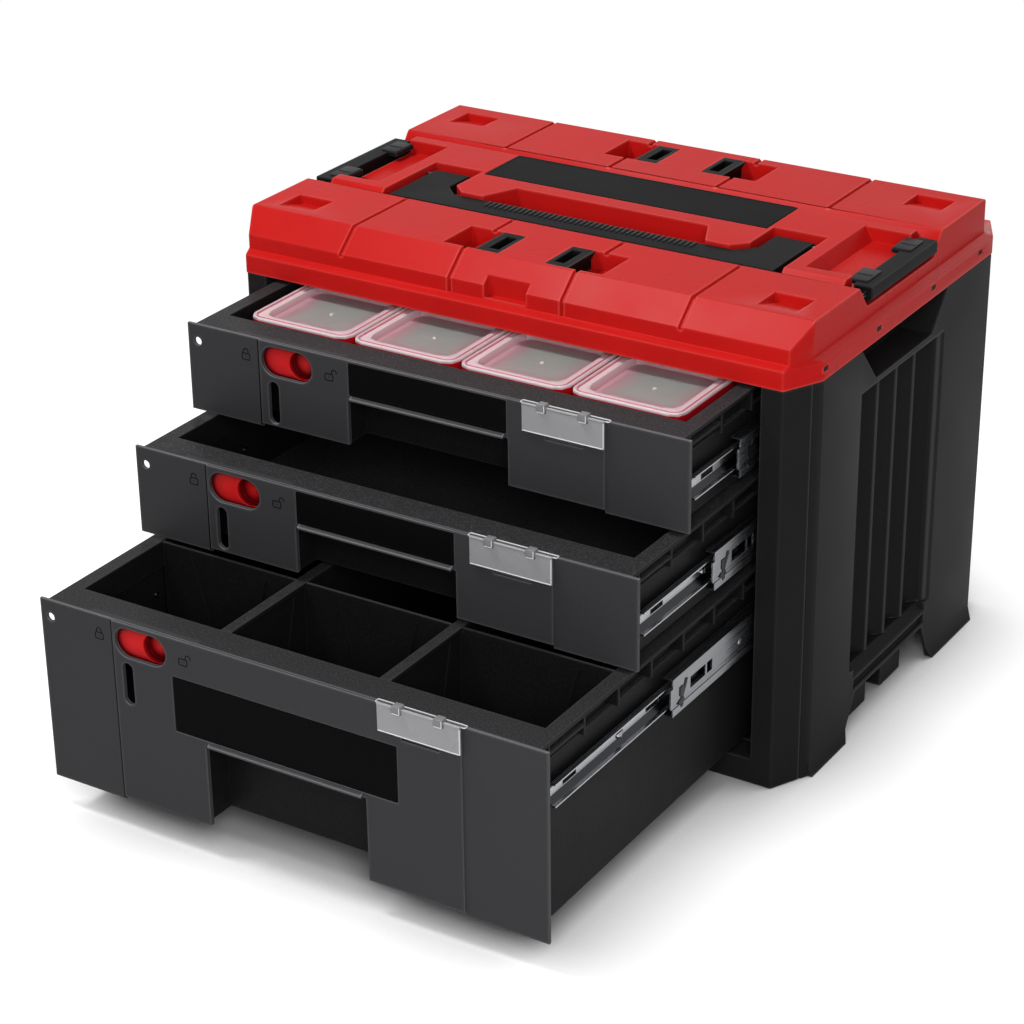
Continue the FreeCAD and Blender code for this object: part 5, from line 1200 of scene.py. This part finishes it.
# Beads and gate marks of the bin lids
BIN_ROWS = 3
BIN_COLUMNS = 4
BIN_CORNER = 9 * MM
BEAD_RAISE = 0.8 * MM
BEAD_IN = 0.75              # from the lid's edge to the outer bead's middle, in widths of the bead
LINE_IN = 2.2               # the same for the inner bead
GATE_RADIUS = 1.3 * MM
GATE_TOP_RADIUS = 1.1 * MM
GATE_SHOULDER = 0.7 * MM
GATE_RAISE = 0.8 * MM
GATE_FLOOR = 1.5 * MM       # from the lid's lowest edge up to its sunk middle
GATE_STEPS = 12


class CASE_OT_bin_lid_beads(bpy.types.Operator):
    """Adds the two beads and the gate mark of each bin lid"""

    bl_idname = "case.bin_lid_beads"
    bl_label = "Bin lid beads"

    def execute(self, context):
        low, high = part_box("bin_lid_1")
        half = ((high.x - low.x) / 2, (high.y - low.y) / 2)
        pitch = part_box("rear_bin_lids")[0].y - low.y
        columns = [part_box("bin_lid_%d" % number)[0].x + half[0] for number in range(1, BIN_COLUMNS + 1)]
        rows = [low.y + half[1] + pitch * row for row in range(BIN_ROWS)]
        offsets = [(x, y, 0.0) for y in rows for x in columns]
        width = hardware().bead
        # The inner lines carry the painted red of the bin showing through.
        for piece, finish, inset in (("bin_lid_beads", "polypropylene_bead_white", BEAD_IN),
                                     ("bin_lid_lines", "polypropylene_bead_painted_red", LINE_IN)):
            edge = inset * width
            path = outline(half[0] - edge, half[1] - edge, BIN_CORNER - edge, steps=8)[0]
            bead = ribbon(path, width / 2, BEAD_RAISE, True)
            beads = place(repeated(bead, offsets), (0, 0, high.z), ACROSS, BACK, UP)
            new_piece(piece, beads, finish, "drawer_top")
        gate = turned([0.0, GATE_RADIUS, GATE_TOP_RADIUS, 0.0], [0.0, 0.0, GATE_SHOULDER, GATE_RAISE],
                      GATE_STEPS)
        gates = place(repeated(gate, offsets), (0, 0, low.z + GATE_FLOOR), ACROSS, BACK, UP)
        new_piece("bin_lid_gates", gates, "polypropylene_bead_white", "drawer_top")
        return {"FINISHED"}


# Leaning ribs on the walls of the deep drawer
WALL_RIB_HALF_WIDTH = 0.7 * MM
WALL_RIB_RAISE = 0.8 * MM
WALL_RIB_FOOT = 14.0 * MM   # from the wall's middle, at the rib's lower end
WALL_RIB_LEAN = 16.0 * MM   # further out at its upper end
WALL_RIB_LOW = 0.45         # shares of the wall's height
WALL_RIB_RUN = 0.5
WALL_RIB_STEPS = 9
FRONT_RIM_DEPTH = 22 * MM
DIVIDER_HALF_WALL = 1.5 * MM


class CASE_OT_wall_ribs(bpy.types.Operator):
    """Adds the leaning ribs on the walls inside the deep drawer"""

    bl_idname = "case.wall_ribs"
    bl_label = "Wall ribs"

    def execute(self, context):
        low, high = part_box("cross_walls")
        divider_low, divider_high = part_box("divider_right")
        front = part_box("drawer_tray_bottom")[0].y + FRONT_RIM_DEPTH
        ribs = joined([self.rib(lean, high.z - low.z) for lean in (-1.0, 1.0)])
        side_middle = (high.x + divider_high.x) / 2
        divider = (divider_low.x + divider_high.x) / 2
        shapes = [place(ribs, (centre, low.y, low.z), ACROSS, UP, FORWARD)
                  for centre in (-side_middle, 0.0, side_middle)]
        shapes += [place(ribs, (centre + DIVIDER_HALF_WALL, (front + low.y) / 2, low.z), BACK, UP, ACROSS)
                   for centre in (-divider, divider)]
        new_piece("wall_ribs", joined(shapes), "polypropylene_tray_satin", "drawer_bottom")
        return {"FINISHED"}

    def rib(self, lean, height):
        """A straight raised line that leans towards the middle on its way down the wall."""
        share = np.linspace(0.0, 1.0, WALL_RIB_STEPS)
        path = np.stack([lean * (WALL_RIB_FOOT + WALL_RIB_LEAN * share),
                         height * (WALL_RIB_LOW + WALL_RIB_RUN * share)], axis=1)
        return ribbon(path, WALL_RIB_HALF_WIDTH, WALL_RIB_RAISE, False)


# Stage: a round paper floor, three softboxes and the camera, in metres
FLOOR_HUB = 0.02
FLOOR_RADIUS = 6.0
FLOOR_RINGS = 13
FLOOR_SPOKES = 48
FLOOR_DOWN = 0.3 * MM
PAPER_LIT = "#E7E7E7"       # the paper as bounced light meets it
PAPER_SHOWN = "#BCBCBC"     # the paper as the camera meets it, besides its glow
WHITE_START = 0.6           # distances over which the floor turns plain white
WHITE_END = 1.0
KEY_PLACE = (-0.78, -0.47, 2.03)
KEY_WIDTH = 0.4
FRONT_PLACE = (0.75, -1.05, 0.85)
FRONT_WIDTH = 0.6
REAR_PLACE = (0.2, 2.0, 1.0)
REAR_WIDTH = 0.9
SENSOR_WIDTH = 36.0         # in millimetres, as Blender's cameras give it
CLIP_NEAR = 0.05
CLIP_FAR = 50.0


class CASE_OT_stage(bpy.types.Operator):
    """Sets up the pale floor, the lamps, the world and the camera"""

    bl_idname = "case.stage"
    bl_label = "Studio stage"

    def execute(self, context):
        for name in ("Cube", "Light", "Camera"):
            if name in bpy.data.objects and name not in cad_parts:
                bpy.data.objects.remove(bpy.data.objects[name])
        self.floor()
        self.world(context.scene)
        self.lamps()
        self.camera(context.scene)
        context.scene.view_settings.view_transform = "Standard"
        return {"FINISHED"}

    def floor(self):
        """Round floor: rings of points whose radius grows by equal steps."""
        radius = np.linspace(FLOOR_HUB, FLOOR_RADIUS, FLOOR_RINGS)[:, None]
        angle = np.arange(FLOOR_SPOKES) * 2 * np.pi / FLOOR_SPOKES
        depth = np.full((FLOOR_RINGS, FLOOR_SPOKES), -FLOOR_DOWN)
        grid = np.stack([radius * np.cos(angle), radius * np.sin(angle), depth], axis=-1)
        faces = grid_faces(FLOOR_RINGS, FLOOR_SPOKES, False, True)[:, ::-1].tolist()
        mesh = bpy.data.meshes.new("studio_floor")
        mesh.from_pydata(grid.reshape(-1, 3).tolist(), [], faces + [list(range(FLOOR_SPOKES))])
        mesh.materials.append(self.floor_material())
        floor = bpy.data.objects.new("studio_floor", mesh)
        bpy.context.scene.collection.objects.link(floor)

    def seen_directly(self, tree):
        """One for rays from the camera, off gloss or through clear plastic, and nought for the rest."""
        paths = add(tree, "ShaderNodeLightPath").outputs
        seen = add(tree, "ShaderNodeMath", {0: paths["Is Camera Ray"], 1: paths["Is Glossy Ray"]},
                   operation="MAXIMUM")
        seen = add(tree, "ShaderNodeMath", {0: seen.outputs["Value"], 1: paths["Is Transmission Ray"]},
                   operation="MAXIMUM")
        return seen.outputs["Value"]

    def floor_material(self):
        """Matt white paper that glows a little to the camera, and is plain white further out.

        The eye gets a pale floor with a soft shadow close round the case.
        """
        stage = studio()
        paper, tree = new_material("studio_paper_white")
        spot = add(tree, "ShaderNodeTexCoord").outputs["Object"]
        distance = add(tree, "ShaderNodeVectorMath", {0: spot}, operation="LENGTH")
        far = add(tree, "ShaderNodeMapRange",
                  {"Value": distance.outputs["Value"], "From Min": WHITE_START, "From Max": WHITE_END},
                  interpolation_type="SMOOTHSTEP")
        matt = add(tree, "ShaderNodeBsdfDiffuse", {"Color": linear(PAPER_LIT)})
        free = add(tree, "ShaderNodeAmbientOcclusion", {"Distance": stage.shadow_reach}, samples=16)
        strength = add(tree, "ShaderNodeMapRange",
                       {"Value": free.outputs["AO"], "From Min": 0.3, "From Max": 0.9,
                        "To Min": 0.0, "To Max": stage.floor_glow})
        own = add(tree, "ShaderNodeEmission",
                  {"Color": linear(WHITE), "Strength": strength.outputs["Result"]})
        grey = add(tree, "ShaderNodeBsdfDiffuse", {"Color": linear(PAPER_SHOWN)})
        lifted = add(tree, "ShaderNodeAddShader", {0: grey.outputs["BSDF"], 1: own.outputs["Emission"]})
        white = add(tree, "ShaderNodeEmission", {"Color": linear(WHITE), "Strength": 1.0})
        shown = add(tree, "ShaderNodeMixShader",
                    {0: far.outputs["Result"], 1: lifted.outputs["Shader"], 2: white.outputs["Emission"]})
        shader = add(tree, "ShaderNodeMixShader",
                     {0: self.seen_directly(tree), 1: matt.outputs["BSDF"], 2: shown.outputs["Shader"]})
        add(tree, "ShaderNodeOutputMaterial", {"Surface": shader.outputs["Shader"]})
        return paper

    def world(self, scene):
        """White to the camera, to gloss and through clear plastic; a soft light to everything else."""
        scene.world = bpy.data.worlds.new("studio_white")
        scene.world.use_nodes = True
        tree = scene.world.node_tree
        tree.nodes.clear()
        soft = add(tree, "ShaderNodeBackground", {"Color": linear(WHITE), "Strength": studio().ambient})
        white = add(tree, "ShaderNodeBackground", {"Color": linear(WHITE), "Strength": 1.0})
        mixed = add(tree, "ShaderNodeMixShader",
                    {0: self.seen_directly(tree), 1: soft.outputs["Background"],
                     2: white.outputs["Background"]})
        add(tree, "ShaderNodeOutputWorld", {"Surface": mixed.outputs["Shader"]})

    def lamps(self):
        """Softboxes, each turned to the point that the camera looks at."""
        stage = studio()
        boxes = (
            ("softbox_above_left", KEY_PLACE, KEY_WIDTH, stage.key_power),
            ("softbox_front_right", FRONT_PLACE, FRONT_WIDTH, stage.front_power),
            ("softbox_behind", REAR_PLACE, REAR_WIDTH, stage.rear_power),
        )
        target = np.array([0.0, 0.0, stage.target_height])
        for name, spot, width, power in boxes:
            light = bpy.data.lights.new(name, "AREA")
            light.shape = "SQUARE"
            light.size = width
            light.energy = power
            lamp = bpy.data.objects.new(name, light)
            back = np.array(spot) - target
            back /= np.linalg.norm(back)
            right = np.cross(UP, back)
            right /= np.linalg.norm(right)
            lamp.matrix_world = self.axes(right, np.cross(back, right), back, spot)
            bpy.context.scene.collection.objects.link(lamp)

    def axes(self, right, up, back, spot):
        """Matrix of a lamp or a camera, from its three directions and its place."""
        columns = [list(row) for row in np.array([right, up, back, spot]).T]
        return Matrix(columns + [[0.0, 0.0, 0.0, 1.0]])

    def camera(self, scene):
        """Camera on a sphere round the target, turned by its roll and stepped sideways and up."""
        stage = studio()
        azimuth, elevation, roll = stage.azimuth, stage.elevation, stage.roll
        level = np.array([math.cos(azimuth), math.sin(azimuth), 0.0])
        outward = np.array([math.sin(azimuth), -math.cos(azimuth), 0.0])
        back = math.cos(elevation) * outward + math.sin(elevation) * np.array(UP)
        upright = np.cross(back, level)
        right = math.cos(roll) * level + math.sin(roll) * upright
        up = math.cos(roll) * upright - math.sin(roll) * level
        target = np.array([0.0, 0.0, stage.target_height])
        spot = target + stage.aside * right + stage.above * up + stage.distance * back
        lens = bpy.data.cameras.new("studio_camera")
        lens.lens = stage.lens
        lens.sensor_width = SENSOR_WIDTH
        lens.clip_start, lens.clip_end = CLIP_NEAR, CLIP_FAR
        camera = bpy.data.objects.new("studio_camera", lens)
        camera.matrix_world = self.axes(right, up, back, spot)
        scene.collection.objects.link(camera)
        scene.camera = camera


# Panel and registration

class CASE_PT_sidebar(bpy.types.Panel):
    """Lists the sizes, the colours and the steps of the tool case"""

    bl_idname = "CASE_PT_sidebar"
    bl_label = "Tool Case"
    bl_space_type = "VIEW_3D"
    bl_region_type = "UI"
    bl_category = "Tool Case"

    def draw(self, context):
        for group in (finishes(), hardware(), studio()):
            box = self.layout.box()
            for name in type(group).__annotations__:
                box.prop(group, name)
        for operator in OPERATORS:
            self.layout.operator(operator.bl_idname)


GROUPS = (
    ("case_finishes", CaseFinishes),
    ("case_hardware", CaseHardware),
    ("case_studio", CaseStudio),
)
OPERATORS = (
    CASE_OT_finishes,
    CASE_OT_bare_plates,
    CASE_OT_lock_signs,
    CASE_OT_slide_hardware,
    CASE_OT_lid_snaps,
    CASE_OT_handle_ribs,
    CASE_OT_latch_pads,
    CASE_OT_label_clips,
    CASE_OT_panel_step_shadows,
    CASE_OT_bin_lid_beads,
    CASE_OT_wall_ribs,
    CASE_OT_stage,
)


def register():
    """Makes the properties, the operators and the panel known."""
    for name, group in GROUPS:
        bpy.utils.register_class(group)
        setattr(bpy.types.Scene, name, bpy.props.PointerProperty(type=group))
    for operator in OPERATORS:
        bpy.utils.register_class(operator)
    bpy.utils.register_class(CASE_PT_sidebar)


def unregister():
    """Takes them away again, last made first."""
    bpy.utils.unregister_class(CASE_PT_sidebar)
    for operator in reversed(OPERATORS):
        bpy.utils.unregister_class(operator)
    for name, group in reversed(GROUPS):
        delattr(bpy.types.Scene, name)
        bpy.utils.unregister_class(group)


def main():
    """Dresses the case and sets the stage."""
    register()
    bpy.ops.case.finishes()
    bpy.ops.case.bare_plates()
    bpy.ops.case.lock_signs()
    bpy.ops.case.slide_hardware()
    bpy.ops.case.lid_snaps()
    bpy.ops.case.handle_ribs()
    bpy.ops.case.latch_pads()
    bpy.ops.case.label_clips()
    bpy.ops.case.panel_seams()
    bpy.ops.case.bin_lid_beads()
    bpy.ops.case.wall_ribs()
    bpy.ops.case.stage()


if __name__ == "__main__":
    main()
